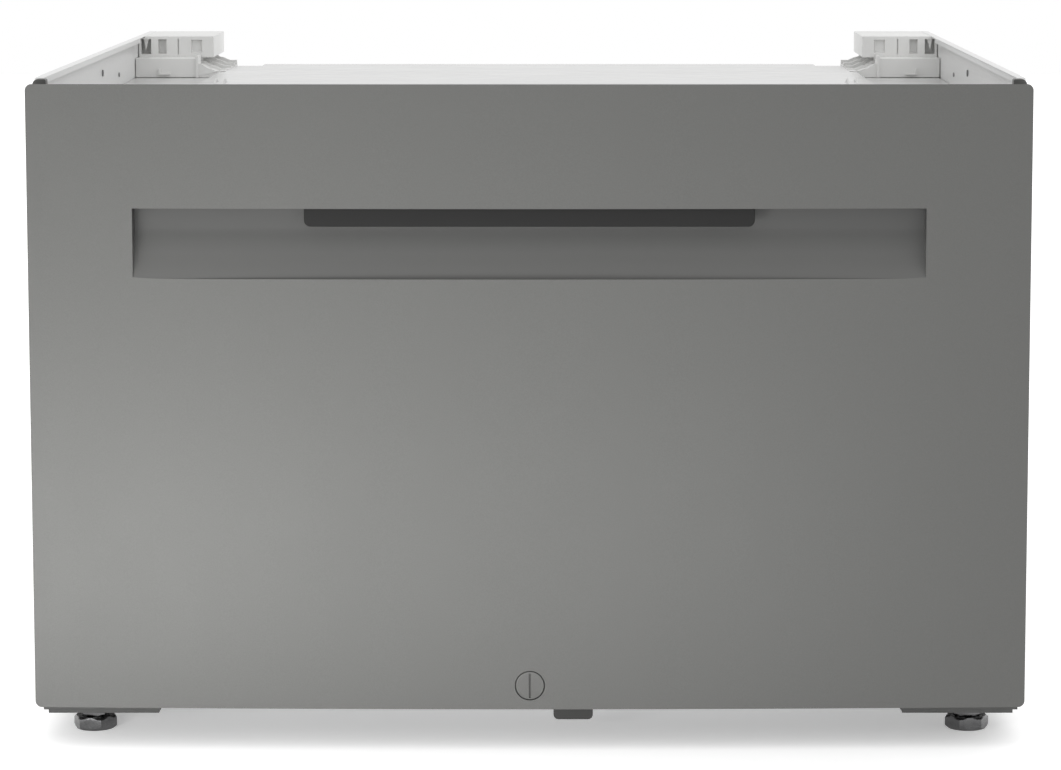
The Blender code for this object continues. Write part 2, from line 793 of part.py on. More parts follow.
def suspension_strut(name, place, look):
    """Rod that hangs from the deck, with its lower seat and the spring under the tub's lug."""
    def rod(bm):
        profile = [(0.0130, 0.1050), (0.0130, 0.1100), (ROD_R, 0.1100), (ROD_R, DECK_TOP),
                   (0.0090, DECK_TOP + GAP), (0.0090, DECK_TOP + 0.0030)]
        add_turned(bm, profile, place, "Z", 12)
    strut = solid(name, rod, look)

    def spring(bm):
        add_tube(bm, helix(place, 0.0095, 0.1105, LUG_Z - 0.0020, 5, 8), 0.0015, 4)
    join(strut, spring)
    soften(strut)


def drain_pump(look):
    """Pump on the bin's floor, with the cup that the tub's drain pipe dips into."""
    def body(bm):
        profile = [(0.0150, -0.0400), (0.0210, -0.0360), (0.0210, 0.0450), (0.0170, 0.0500),
                   (0.0170, 0.0800)]
        add_turned(bm, profile, (PUMP_X, PUMP_Z), "Y", 24)
    pump = solid("drain_pump", body, look, smooth=True)
    join(pump, lambda bm: add_cylinder(bm, 0.0155, (PUMP_X, PUMP_Y), 0.0900, 0.1120, "Z", 24))
    cut(pump, lambda bm: add_cylinder(bm, 0.0125, (PUMP_X, PUMP_Y), 0.0880, 0.1200, "Z", 24))

    def outlet(bm):
        add_cylinder(bm, 0.0090, (DRAIN_X - 0.016, PUMP_Z), 0.0200, 0.1270, "Y", 16)
    join(pump, outlet)


def detergent_flap(look):
    """Small cover over the cup, hinged at its outer side."""
    low_x, high_x, low_y, high_y = CUP

    def plate(bm):
        add_box(bm, (low_x - 0.003, low_y + 0.001, DECK_TOP + 0.0005),
                (high_x + 0.0020, high_y - 0.001, DECK_TOP + 0.0030))
    flap = solid("detergent_flap", plate, look)
    join(flap, lambda bm: add_cylinder(bm, 0.0030, (FLAP_AXIS_X, FLAP_AXIS_Z), low_y + 0.004,
                                       high_y - 0.004, "Y", 12))
    pivot(flap, (FLAP_AXIS_X, 0.06, FLAP_AXIS_Z))


# Controls on the drawer's deck

def control_panel(look):
    def strip(bm):
        outline = [(-0.3400, DECK_TOP + GAP), (-0.2970, DECK_TOP + GAP), (-0.2970, 0.4130),
                   (-0.3010, STRIP_TOP), (-0.3360, STRIP_TOP), (-0.3400, 0.4130)]
        add_prism(bm, outline, "X", -STRIP_HALF, STRIP_HALF)
    panel = solid("control_panel", strip, look)

    def bores(bm):
        for x in BUTTONS.values():
            add_cylinder(bm, BUTTON_R + 0.0004, (x, BUTTON_Y), 0.4085, 0.430, "Z", 16)
        add_cylinder(bm, 0.0034, (DIAL_X, BUTTON_Y), 0.4085, 0.430, "Z", 16)
    cut(panel, bores)


def push_button(name, x, look):
    def shape(bm):
        profile = [(BUTTON_R, 0.4125), (BUTTON_R, 0.4185), (BUTTON_R - 0.0008, 0.4195)]
        add_turned(bm, profile, (x, BUTTON_Y), "Z", 16)
    solid(name, shape, look, smooth=True)


def program_dial(look):
    def shape(bm):
        profile = [(0.0030, 0.4095), (0.0030, DIAL_BOTTOM), (DIAL_R, DIAL_BOTTOM),
                   (DIAL_R, DIAL_TOP - 0.0015), (DIAL_R - 0.0015, DIAL_TOP)]
        add_turned(bm, profile, (DIAL_X, BUTTON_Y), "Z", 24)
    dial = solid("program_dial", shape, look)
    cut(dial, lambda bm: add_box(bm, (DIAL_X - 0.0008, BUTTON_Y - 0.0162, 0.4272),
                                 (DIAL_X + 0.0008, BUTTON_Y - 0.0060, 0.4300)))
    soften(dial)
    pivot(dial, (DIAL_X, BUTTON_Y, DIAL_BOTTOM))


# Tub, drum and drive

def lug_boxes(bm):
    """Four radial arms from the tub to the suspension rods."""
    for x, y in rod_places():
        angle = math.atan2(y - AXIS_Y, x)
        along = Vector((math.cos(angle), math.sin(angle), 0))
        across = Vector((-along.y, along.x, 0)) * 0.012
        reach = math.hypot(x, y - AXIS_Y)
        centre = Vector((0, AXIS_Y, 0))
        start = centre + along * (TUB_R - 0.0022)
        end = centre + along * (reach + 0.013)
        outline = [start - across, end - across, end + across, start + across]
        add_prism(bm, [(p.x, p.y) for p in outline], "Z", LUG_Z, LUG_Z + 0.012)


def outer_tub(look):
    """Plastic tub with four hanging lugs, the drain pipe and a bore for the drive."""
    def shell(bm):
        profile = [(0.205, TUB_BOTTOM), (TUB_R, TUB_BOTTOM + 0.012), (TUB_R, TUB_TOP),
                   (TUB_R - TUB_WALL, TUB_TOP), (TUB_R - TUB_WALL, TUB_BOTTOM + 0.015),
                   (0.203, TUB_BOTTOM + TUB_WALL), (0.0185, TUB_BOTTOM + TUB_WALL),
                   (0.0185, TUB_BOTTOM)]
        add_turned(bm, profile, (0, AXIS_Y), "Z", 36, closed=True)
    tub = solid("outer_tub", shell, look, smooth=True)
    join(tub, lug_boxes)
    join(tub, lambda bm: add_cylinder(bm, 0.0105, (PUMP_X, PUMP_Y), 0.0965,
                                      TUB_BOTTOM + 0.001, "Z", 20))

    def bores(bm):
        add_cylinder(bm, 0.0080, (PUMP_X, PUMP_Y), 0.0900, TUB_BOTTOM + 0.010, "Z", 20)
        for place in rod_places():
            add_cylinder(bm, ROD_R + 0.0015, place, LUG_Z - 0.01, LUG_Z + 0.03, "Z", 12)
    cut(tub, bores)


def tub_ring(look):
    """Splash ring that closes the tub's rim round the mouth."""
    def shape(bm):
        low = TUB_TOP + GAP
        profile = [(0.1680, low), (0.2235, low), (0.2235, low + 0.0045), (0.1715, low + 0.0045),
                   (0.1715, 0.3920), (0.1680, 0.3920)]
        add_turned(bm, profile, (0, AXIS_Y), "Z", 36, closed=True)
    solid("tub_ring", shape, look, smooth=True)


def bearing_housing(look):
    def shape(bm):
        top = TUB_BOTTOM - GAP
        profile = [(0.0185, top), (0.0600, top), (0.0600, top - 0.0055), (0.0340, top - 0.0075),
                   (0.0340, 0.0980), (0.0305, 0.0980), (0.0305, 0.1265), (0.0185, 0.1265)]
        add_turned(bm, profile, (0, AXIS_Y), "Z", 28, closed=True)
    solid("bearing_housing", shape, look, smooth=True)


def bearing(name, low, look):
    def shape(bm):
        add_ring(bm, 0.0163, 0.0302, (0, AXIS_Y), low, low + 0.0100, count=24)
    solid(name, shape, look, smooth=True)


def stator(look):
    """Wound stator: twelve poles round the bearing housing."""
    def shape(bm):
        poles = 12
        inner = []
        outer = []
        for i in range(poles * 4):
            angle = math.tau * i / (poles * 4)
            reach = 0.1040 if i % 4 in (0, 1) else 0.0780
            inner.append((0.0345 * math.cos(angle), AXIS_Y + 0.0345 * math.sin(angle)))
            outer.append((reach * math.cos(angle), AXIS_Y + reach * math.sin(angle)))
        loops = [[(u, v, z) for u, v in ring] for ring, z in
                 ((inner, 0.0990), (outer, 0.0990), (outer, 0.1150), (inner, 0.1150))]
        add_loft(bm, loops, closed=True)
    solid("stator", shape, look)


def rotor(look):
    """Cup of magnets under the stator, on the drive shaft."""
    def shape(bm):
        profile = [(SHAFT_BORE_R, ROTOR_BOTTOM), (ROTOR_R, ROTOR_BOTTOM), (ROTOR_R, 0.1180),
                   (0.1080, 0.1180), (0.1080, 0.0890), (0.0260, 0.0890), (0.0200, 0.0950),
                   (SHAFT_BORE_R, 0.0950)]
        add_turned(bm, profile, (0, AXIS_Y), "Z", ROUND, closed=True)
    solid("rotor", shape, look, smooth=True)


def drive_shaft(look):
    def shape(bm):
        add_cylinder(bm, SHAFT_R, (0, AXIS_Y), 0.0800, 0.1472, "Z", 24)
    solid("drive_shaft", shape, look, smooth=True)


def drum_shaft(look):
    """Hollow shaft and hub that turn the drum."""
    def shape(bm):
        profile = [(SHAFT_BORE_R, 0.0965), (0.0160, 0.0965), (0.0160, 0.1370), (0.0450, 0.1380),
                   (0.0450, 0.1420), (SHAFT_BORE_R, 0.1420)]
        add_turned(bm, profile, (0, AXIS_Y), "Z", 28, closed=True)
    solid("drum_shaft", shape, look, smooth=True)


def drum(look):
    def shape(bm):
        wall = 0.0012
        inner = DRUM_R - 0.0088
        profile = [(0.0122, DRUM_BOTTOM), (0.1920, DRUM_BOTTOM), (DRUM_R, DRUM_BOTTOM + 0.010),
                   (DRUM_R, DRUM_TOP), (DRUM_R - wall, DRUM_TOP),
                   (DRUM_R - wall, DRUM_BOTTOM + 0.0105), (inner, DRUM_BOTTOM + wall),
                   (0.0122, DRUM_BOTTOM + wall)]
        add_turned(bm, profile, (0, AXIS_Y), "Z", 36, closed=True)
    solid("drum", shape, look, smooth=True)


def balance_ring(look):
    """Liquid-filled ring on the drum's rim."""
    def shape(bm):
        low, high = DRUM_TOP + GAP, DRUM_TOP + 0.0220
        profile = [(0.1830, low), (0.2020, low), (0.2020, high - 0.005), (0.1970, high),
                   (0.1880, high), (0.1830, high - 0.005)]
        add_turned(bm, profile, (0, AXIS_Y), "Z", 36, closed=True)
    solid("balance_ring", shape, look, smooth=True)


def pulsator(look):
    """Domed disc with three swept fins at the drum's foot."""
    def disc(bm):
        profile = [(0.1600, 0.1476), (0.1620, 0.1500), (0.1300, 0.1530), (0.0700, 0.1600),
                   (0.0350, 0.1740), (0.0140, 0.1790)]
        add_turned(bm, profile, (0, AXIS_Y), "Z", 30)
    plate = solid("pulsator", disc, look, smooth=True)

    def fins(bm):
        for i in range(3):
            angle = math.tau * i / 3 + 0.3
            along = Vector((math.cos(angle), math.sin(angle)))
            across = Vector((-along.y, along.x))
            loops = []
            for reach, half, top in ((0.020, 0.013, 0.1820), (0.080, 0.011, 0.1760),
                                     (0.145, 0.007, 0.1600)):
                middle = Vector((0, AXIS_Y)) + along * reach
                a, b = middle - across * half, middle + across * half
                loops.append([(a.x, a.y, 0.1495), (b.x, b.y, 0.1495),
                              (*(middle + across * half * 0.45), top),
                              (*(middle - across * half * 0.45), top)])
            add_loft(bm, loops)
    join(plate, fins)


# Lid

def lid_frame(look):
    """Lid shell with a round window opening and two hinge knuckles at its back."""
    wall = 0.003

    def shell(bm):
        def outline(inset):
            return rounded(-LID_HALF + inset, LID_HALF - inset, LID_FRONT_Y + inset,
                           LID_BACK_Y - inset, 0.030 - inset, 5)
        shapes = ((wall, LID_TOP - wall), (wall, LID_BOTTOM), (0, LID_BOTTOM),
                  (0, LID_TOP - wall), (wall, LID_TOP))
        add_loft(bm, [[(x, y, z) for x, y in outline(inset)] for inset, z in shapes])
    lid = solid("lid_frame", shell, look)
    cut(lid, lambda bm: add_cylinder(bm, WINDOW_R, (0, AXIS_Y), 0.410, 0.440, "Z", 36))

    def knuckles(bm):
        for side in (-1, 1):
            low, high = sorted((side * 0.1082, side * 0.1294))
            add_box(bm, (low, LID_BACK_Y - 0.001, 0.4180), (high, LID_AXIS_Y, 0.4270))
    join(lid, knuckles)

    def barrels(bm):
        for side in (-1, 1):
            low, high = sorted((side * 0.1080, side * 0.1296))
            add_cylinder(bm, 0.0060, (LID_AXIS_Y, LID_AXIS_Z), low, high, "X", 16)
    join(lid, barrels)

    def bores_and_notches(bm):
        for side in (-1, 1):
            low, high = sorted((side * 0.1100, side * 0.1340))
            add_cylinder(bm, HINGE_BORE_R, (LID_AXIS_Y, LID_AXIS_Z), low, high, "X", 16)
            low, high = sorted((side * 0.1300, side * 0.1380))
            add_box(bm, (low, LID_BACK_Y - 0.0080, 0.4000), (high, LID_BACK_Y + 0.006, 0.4400))
    cut(lid, bores_and_notches)
    soften(lid)
    pivot(lid, (0, LID_AXIS_Y, LID_AXIS_Z))


def lid_window(look):
    def shape(bm):
        profile = [(WINDOW_R - 0.0004, LID_TOP - 0.0030), (WINDOW_R - 0.0004, LID_TOP - 0.0005),
                   (WINDOW_R - 0.0060, LID_TOP + 0.0010)]
        add_turned(bm, profile, (0, AXIS_Y), "Z", 36)
    window = solid("lid_window", shape, look, smooth=True)
    pivot(window, (0, LID_AXIS_Y, LID_AXIS_Z))


def build():
    clear_scene()
    white = make_material("white_paint", WHITE, 0.35)
    plastic = make_material("white_plastic", (0.74, 0.74, 0.73), 0.40)
    graphite = make_material("graphite_paint", GREY_PAINT, 0.38, 0.6)
    dark = make_material("dark_plastic", DARK, 0.30)
    pale = make_material("pale_plastic", PALE_PLASTIC, 0.45)
    zinc = make_material("zinc_steel", STEEL, 0.40, 1.0)
    stainless = make_material("stainless_steel", (0.66, 0.66, 0.67), 0.25, 1.0)
    spring_steel = make_material("spring_steel", (0.40, 0.40, 0.41), 0.35, 1.0)
    rubber = make_material("rubber", (0.05, 0.05, 0.05), 0.80)
    copper = make_material("copper_winding", (0.55, 0.25, 0.12), 0.40, 0.8)
    smoked = make_material("smoked_window", (0.10, 0.11, 0.12), 0.08)

    for word, side in SIDES:
        side_panel(word, side, white)
        corner_post(word, side, graphite)
        corner_block(word, side, plastic)
        outer_rail(word, side, zinc)
        middle_rail(word, side, zinc)
        inner_rail(word, side, zinc)
    base_frame(zinc)
    for row, y in zip(("front", "rear"), FOOT_Y):
        for word, side in SIDES:
            levelling_foot(f"{row}_{word}_foot", side * FOOT_X, y, FOOT_TURN[word], zinc)
    rear_panel(white)
    top_cover(white)
    lock_catch(dark)
    inlet_valve(pale)
    fill_hose(pale)
    drain_hose(rubber)
    drain_outlet(dark)
    cord_gland(dark)
    control_board(pale)

    front_panel(graphite)
    panel_liner(zinc)
    handle_lever(dark)
    lever_pin(zinc)
    lever_spring(spring_steel)
    lock_knob(graphite)
    lock_cam(zinc)
    drawer_bin(zinc)
    drawer_deck(plastic)
    for row, place in enumerate(rod_places()):
        suspension_strut(f"suspension_strut_{row + 1}", place, spring_steel)
    drain_pump(dark)
    detergent_flap(plastic)
    control_panel(dark)
    for name, x in BUTTONS.items():
        push_button(name, x, pale)
    program_dial(pale)

    outer_tub(pale)
    tub_ring(pale)
    bearing_housing(zinc)
    bearing("lower_bearing", 0.0990, stainless)
    bearing("upper_bearing", 0.1160, stainless)
    stator(copper)
    rotor(zinc)
    drive_shaft(stainless)
    drum_shaft(stainless)
    drum(stainless)
    balance_ring(pale)
    pulsator(pale)
    lid_frame(plastic)
    lid_window(smoked)


build()
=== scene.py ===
import json
from math import cos, pi, radians, sin, tau

import bmesh
import bpy
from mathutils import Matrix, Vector


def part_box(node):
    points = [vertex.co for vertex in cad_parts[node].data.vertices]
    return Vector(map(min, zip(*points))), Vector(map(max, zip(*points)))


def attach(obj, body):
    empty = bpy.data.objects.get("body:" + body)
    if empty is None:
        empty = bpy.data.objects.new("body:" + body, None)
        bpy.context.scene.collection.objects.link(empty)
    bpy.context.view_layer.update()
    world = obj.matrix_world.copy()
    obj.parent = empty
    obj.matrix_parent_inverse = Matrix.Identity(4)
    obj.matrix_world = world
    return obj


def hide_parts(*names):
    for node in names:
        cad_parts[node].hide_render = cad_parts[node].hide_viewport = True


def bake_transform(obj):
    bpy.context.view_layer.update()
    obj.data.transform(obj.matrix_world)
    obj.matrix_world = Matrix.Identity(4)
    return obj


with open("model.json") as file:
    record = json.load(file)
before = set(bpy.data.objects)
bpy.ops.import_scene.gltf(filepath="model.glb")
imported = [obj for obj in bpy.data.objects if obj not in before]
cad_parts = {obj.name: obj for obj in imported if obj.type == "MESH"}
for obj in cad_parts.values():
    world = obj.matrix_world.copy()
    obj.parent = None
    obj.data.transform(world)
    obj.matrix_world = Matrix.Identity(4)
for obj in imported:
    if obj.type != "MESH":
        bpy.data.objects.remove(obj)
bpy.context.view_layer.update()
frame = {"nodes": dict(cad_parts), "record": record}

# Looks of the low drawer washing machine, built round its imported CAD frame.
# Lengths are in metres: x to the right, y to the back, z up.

NODES = frame["nodes"]

# Studio and camera: metres, degrees, millimetres of lens, watts
CAMERA_PLACE = (0.0297, -2.9772, 0.6236)
CAMERA_PITCH = 90 - 7.016
CAMERA_LENS = 126.87
CAMERA_SHIFT = (-0.0391, -0.06)
WORLD_LIGHT = 1.0
FLOOR_GLOW = 0.32
FLOOR_HALF = (9.0, 8.0)
SIDE_SUN = 0.35
SIDE_SUN_ANGLE = 60
SIDE_SUN_TURN = (18, 55, 0)
# place, target, size, power
LAMPS = {
    "key_left": ((-0.40, -1.00, 0.06), (-0.20, -0.39, 0.06), (0.3, 0.3), 7.5),
    "low_front": ((-0.30, -1.10, 0.02), (-0.25, -0.39, 0.12), (1.2, 0.10), 2.0),
}

# Places that several pieces share, in metres
SIDES = (("left", -1), ("right", 1))
AXIS_Y = -0.116
AXIS = (0.0, AXIS_Y)
VALVE = (-0.200, 0.330)
DRAIN = (0.200, 0.120)
LEVER_AXIS = (-0.383, 0.399)
LID_AXIS = (0.066, 0.4225)
KEYS_Y = -0.3185
DIAL = (0.140, KEYS_Y)
STRUTS = [(sx * 0.200, AXIS_Y + sy * 0.170) for sx in (-1, 1) for sy in (-1, 1)]


# ---- materials

def new_material(name, colour, roughness, metallic=0.0, **more):
    """A Principled material; `more` sets its other sockets by name."""
    made = bpy.data.materials.new(name + "_look")
    made.use_nodes = True
    shader = made.node_tree.nodes["Principled BSDF"]
    shader.inputs["Base Color"].default_value = (*colour, 1.0)
    shader.inputs["Roughness"].default_value = roughness
    shader.inputs["Metallic"].default_value = metallic
    for socket, value in more.items():
        shader.inputs[socket.replace("_", " ")].default_value = value
    return made


def node(made, kind, **settings):
    """Add a node; settings whose names are its sockets set their values."""
    added = made.node_tree.nodes.new(kind)
    for key, value in settings.items():
        socket = key.replace("_", " ")
        if socket in added.inputs:
            added.inputs[socket].default_value = value
        else:
            setattr(added, key, value)
    return added


def link(made, source, target):
    made.node_tree.links.new(source, target)


def shader_of(made):
    return made.node_tree.nodes["Principled BSDF"]


def object_point(made):
    return node(made, "ShaderNodeTexCoord").outputs["Object"]


def object_parts(made):
    """X, Y and Z of the object's own coordinates, as sockets."""
    point = node(made, "ShaderNodeSeparateXYZ")
    link(made, object_point(made), point.inputs["Vector"])
    return point.outputs


def noise(made, scale, detail=3.0, stretch=None):
    """Noise over the object's own coordinates, stretched along an axis if asked."""
    texture = node(made, "ShaderNodeTexNoise", Scale=scale, Detail=detail)
    point = object_point(made)
    if stretch:
        mapping = node(made, "ShaderNodeMapping", Scale=stretch)
        link(made, point, mapping.inputs["Vector"])
        point = mapping.outputs["Vector"]
    link(made, point, texture.inputs["Vector"])
    return texture.outputs["Fac"]


def vary(made, factor, socket, low, high):
    """Drive a shader socket between low and high by a factor."""
    spread = node(made, "ShaderNodeMapRange")
    spread.inputs["To Min"].default_value = low
    spread.inputs["To Max"].default_value = high
    link(made, factor, spread.inputs["Value"])
    link(made, spread.outputs["Result"], shader_of(made).inputs[socket])


def tint(made, factor, first, second, low=0.35, high=0.65):
    """Blend the base colour between two colours by a factor."""
    ramp = node(made, "ShaderNodeValToRGB")
    ramp.color_ramp.elements[0].position = low
    ramp.color_ramp.elements[0].color = (*first, 1)
    ramp.color_ramp.elements[1].position = high
    ramp.color_ramp.elements[1].color = (*second, 1)
    link(made, factor, ramp.inputs["Fac"])
    link(made, ramp.outputs["Color"], shader_of(made).inputs["Base Color"])


def bump(made, height, distance):
    raised = node(made, "ShaderNodeBump", Strength=1.0, Distance=distance)
    link(made, height, raised.inputs["Height"])
    link(made, raised.outputs["Normal"], shader_of(made).inputs["Normal"])


def shades(colour, low, high):
    """A darker and a lighter version of a colour."""
    return [c * low for c in colour], [c * high for c in colour]


def painted(name, colour, roughness, metallic, grain):
    """Baked paint on steel: faint orange peel, and flake or dust in the colour."""
    made = new_material(name, colour, roughness, metallic)
    tint(made, noise(made, 1400.0, 2.0), *shades(colour, 0.955, 1.045))
    vary(made, noise(made, 35.0, 4.0), "Roughness", roughness - 0.03, roughness + 0.03)
    bump(made, noise(made, 420.0, 2.0), grain)
    return made


def recess_shade_paint(name, low_colour, high_colour, roughness):
    """Recess paint with painted shade: darker from the slope of the recess up to its back wall."""
    made = painted(name, high_colour, roughness, 0.0, 0.000006)
    # painted shade: the base colour darkens with height, from the slope below z 0.350 to the back
    # wall above z 0.365
    tint(made, object_parts(made)["Z"], low_colour, high_colour, 0.350, 0.365)
    return made


def moulded(name, colour, roughness, grain=0.00003, scale=900.0):
    """Injection-moulded plastic: spark-eroded grain and slow flow marks."""
    made = new_material(name, colour, roughness)
    tint(made, noise(made, 14.0, 3.0), *shades(colour, 0.965, 1.02))
    vary(made, noise(made, 60.0, 3.0), "Roughness", roughness - 0.05, roughness + 0.05)
    bump(made, noise(made, scale, 2.0), grain)
    return made


def galvanised(name, colour, roughness):
    """Zinc-coated sheet: crystal spangle in the colour and the gloss."""
    made = new_material(name, colour, roughness, 1.0)
    cells = node(made, "ShaderNodeTexVoronoi", Scale=260.0)
    link(made, object_point(made), cells.inputs["Vector"])
    tone = node(made, "ShaderNodeRGBToBW")
    link(made, cells.outputs["Color"], tone.inputs["Color"])
    tint(made, tone.outputs["Val"], *shades(colour, 0.92, 1.04), 0.1, 0.9)
    vary(made, tone.outputs["Val"], "Roughness", roughness - 0.06, roughness + 0.10)
    bump(made, noise(made, 300.0, 2.0), 0.00002)
    return made


def machined(name, colour, roughness, stretch=(1.0, 1.0, 12.0)):
    """Turned or drawn steel: fine lines round the work, and darker worn patches."""
    made = new_material(name, colour, roughness, 1.0)
    lines = noise(made, 240.0, 4.0, stretch)
    tint(made, noise(made, 90.0, 5.0), *shades(colour, 0.72, 1.05))
    vary(made, lines, "Roughness", roughness - 0.08, roughness + 0.12)
    bump(made, lines, 0.00004)
    return made


HOLES_ROUND = 88
HOLE_ROW = 0.0125


def perforated(name, colour, roughness):
    """Stainless drum wall: rows of small holes, pressed in slightly, drawn as dark dots of painted
    shade.
    """
    made = new_material(name, colour, roughness, 1.0)
    point = object_parts(made)

    def calc(operation, first, second=None):
        return math_node(made, operation, first, second)
    turn = calc("ARCTAN2", calc("SUBTRACT", point["Y"], AXIS_Y), point["X"])
    around = calc("MULTIPLY", turn, HOLES_ROUND / tau)
    upward = calc("MULTIPLY", point["Z"], 1 / HOLE_ROW)
    row = calc("MODULO", calc("FLOOR", upward), 2.0)
    shifted = calc("ADD", around, calc("MULTIPLY", row, 0.5))
    u = calc("SUBTRACT", calc("FRACT", shifted), 0.5)
    v = calc("SUBTRACT", calc("FRACT", upward), 0.5)
    reach = calc("SQRT", calc("ADD", calc("MULTIPLY", u, u), calc("MULTIPLY", v, v)))
    wide = calc("MULTIPLY", reach, 2.6)
    # painted shade: each hole is a near-black dot standing in for the shaded gap behind the open
    # hole
    tint(made, wide, (0.015, 0.015, 0.016), colour, 0.36, 0.44)
    bump(made, calc("MINIMUM", wide, 1.0), 0.0004)
    return made


def math_node(made, operation, first, second=None):
    added = node(made, "ShaderNodeMath", operation=operation)
    for index, value in enumerate((first, second)):
        if value is None:
            continue
        if isinstance(value, (int, float)):
            added.inputs[index].default_value = value
        else:
            link(made, value, added.inputs[index])
    return added.outputs["Value"]


def grey(value, blue=None):
    return (value, value, value if blue is None else blue)


def make_materials():
    smoked = new_material("smoked_window", (0.045, 0.05, 0.055), 0.05,
                          Transmission_Weight=0.85, IOR=1.5)
    vary(smoked, noise(smoked, 25.0), "Roughness", 0.03, 0.09)
    screen = new_material("screen", (0.008, 0.009, 0.010), 0.06, Coat_Weight=0.6)
    vary(screen, noise(screen, 30.0), "Roughness", 0.04, 0.10)
    looks = {
        # recess: painted shade, darker than the graphite paint and deepening towards the back wall
        "recess": recess_shade_paint("recess_painted_shade", grey(0.080, 0.0775), grey(0.047, 0.0455), 0.38),
        "lever": moulded("lever_plastic", grey(0.008, 0.0078), 0.50, 0.00001),
        "insert": machined("insert", grey(0.34), 0.40),
        "key": moulded("key_plastic", (0.36, 0.37, 0.38), 0.32, 0.00001),
        "hose": moulded("nylon_hose", (0.42, 0.46, 0.50), 0.28, 0.00001),
        "base": galvanised("base_sheet", grey(0.105, 0.103), 0.50),
        "graphite": painted("graphite_paint", grey(0.086, 0.0827), 0.40, 0.28, 0.000012),
        "white": painted("white_paint", grey(0.70, 0.695), 0.34, 0.0, 0.00002),
        "cover": moulded("gloss_cover", grey(0.53, 0.525), 0.24, 0.00001, 500.0),
        "block": moulded("ribbed_block", grey(0.72, 0.71), 0.46),
        "dark": moulded("dark_plastic", grey(0.035, 0.034), 0.30, 0.00001),
        "pale": moulded("pale_plastic", (0.56, 0.575, 0.59), 0.42),
        "deck": moulded("drawer_plastic", grey(0.62, 0.615), 0.38),
        "rubber": moulded("rubber", grey(0.035, 0.036), 0.75, 0.00005, 600.0),
        "zinc": galvanised("zinc_sheet", (0.56, 0.57, 0.58), 0.42),
        "foot": machined("plated_foot", grey(0.150, 0.152), 0.24),
        "steel": machined("bright_steel", grey(0.62, 0.63), 0.22),
        "spring": machined("spring_steel", grey(0.22, 0.23), 0.34),
        "cast": machined("cast_aluminium", grey(0.55, 0.56), 0.48, (1, 1, 1)),
        "drum": perforated("perforated_drum", grey(0.62, 0.63), 0.24),
        "copper": machined("copper_winding", (0.50, 0.20, 0.09), 0.38, (40, 40, 2)),
        "smoked": smoked,
        "screen": screen,
    }
    for word in ("lever", "dark"):
        shader_of(looks[word]).inputs["Specular IOR Level"].default_value = 0.25
    return looks


LOOK = make_materials()


# ---- mesh helpers

def on_axis(u, v, along, axis):
    places = {"X": (along, u, v), "Y": (u, along, v), "Z": (u, v, along)}
    return places[axis]


def add_loft(bm, loops, closed=False):
    rings = [[bm.verts.new(point) for point in loop] for loop in loops]
    pairs = list(zip(rings, rings[1:]))
    if closed:
        pairs.append((rings[-1], rings[0]))
    count = len(rings[0])
    for low, high in pairs:
        for i in range(count):
            j = (i + 1) % count
            bm.faces.new((low[i], low[j], high[j], high[i]))
    if not closed:
        bm.faces.new(rings[0][::-1])
        bm.faces.new(rings[-1])


def add_prism(bm, outline, axis, low, high):
    add_loft(bm, [[on_axis(u, v, along, axis) for u, v in outline] for along in (low, high)])


def rectangle(u0, u1, v0, v1):
    return [(u0, v0), (u1, v0), (u1, v1), (u0, v1)]


def around(centre, radius, angle, *height):
    """The point at an angle on a circle, with its height if one is given."""
    return (centre[0] + radius * cos(angle), centre[1] + radius * sin(angle), *height)


def arc(cu, cv, radius, start, steps, sweep=90):
    """Points on a circle from the start angle; start and sweep are in degrees."""
    return [around((cu, cv), radius, radians(start + sweep * i / steps))
            for i in range(steps + 1)]


def rounded(u0, u1, v0, v1, radius, steps=8):
    corners = [(u1 - radius, v0 + radius, -90), (u1 - radius, v1 - radius, 0),
               (u0 + radius, v1 - radius, 90), (u0 + radius, v0 + radius, 180)]
    return [point for cu, cv, start in corners for point in arc(cu, cv, radius, start, steps)]


def mirrored(outline, side):
    return [(side * u, v) for u, v in outline]


def span(side, near, far):
    """The ends of a stretch of x, put on one side, in rising order."""
    return sorted((side * near, side * far))


def add_box(bm, low, high):
    low, high = zip(*(sorted(pair) for pair in zip(low, high)))
    add_prism(bm, rectangle(low[0], high[0], low[1], high[1]), "Z", low[2], high[2])


def add_turned(bm, profile, centre, axis, count, closed=False):
    """A lathed shape; the profile holds each ring's radius and its place along the axis."""
    turns = [tau * i / count for i in range(count)]
    add_loft(bm, [[on_axis(*around(centre, radius, turn), along, axis) for turn in turns]
                  for radius, along in profile], closed)


def add_cylinder(bm, radius, centre, low, high, axis, count):
    add_turned(bm, [(radius, low), (radius, high)], centre, axis, count)


def add_tube(bm, points, radius, sides):
    """A round bar along a path, with a frame that is carried on without twist."""
    path = [Vector(p) for p in points]
    ahead = [b - a for a, b in zip(path, path[1:])]
    tangents = [ahead[0]] + [(a + b).normalized() for a, b in zip(ahead, ahead[1:])] + [ahead[-1]]
    side = tangents[0].orthogonal().normalized()
    loops = []
    previous = tangents[0]
    for spot, tangent in zip(path, tangents):
        side = (previous.rotation_difference(tangent) @ side).normalized()
        across = tangent.cross(side).normalized()
        previous = tangent
        loops.append([spot + radius * (cos(tau * i / sides) * side
                                       + sin(tau * i / sides) * across)
                      for i in range(sides)])
    add_loft(bm, loops)


def helix(centre, radius, low, high, turns, per_turn, axis="Z"):
    total = turns * per_turn
    points = []
    for i in range(total + 1):
        u, v = around(centre, radius, tau * i / per_turn)
        points.append(on_axis(u, v, low + (high - low) * i / total, axis))
    return points


def add_object(name, data):
    made = bpy.data.objects.new(name, data)
    bpy.context.scene.collection.objects.link(made)
    return made


def make(name, builder, look=None):
    """One object from a function that fills a bmesh."""
    bm = bmesh.new()
    builder(bm)
    bmesh.ops.recalc_face_normals(bm, faces=bm.faces)
    mesh = bpy.data.meshes.new(name)
    bm.to_mesh(mesh)
    bm.free()
    if look:
        mesh.materials.append(LOOK[look])
    return add_object(name, mesh)


def prism(name, outline, axis, low, high, look=None):
    return make(name, lambda bm: add_prism(bm, outline, axis, low, high), look)


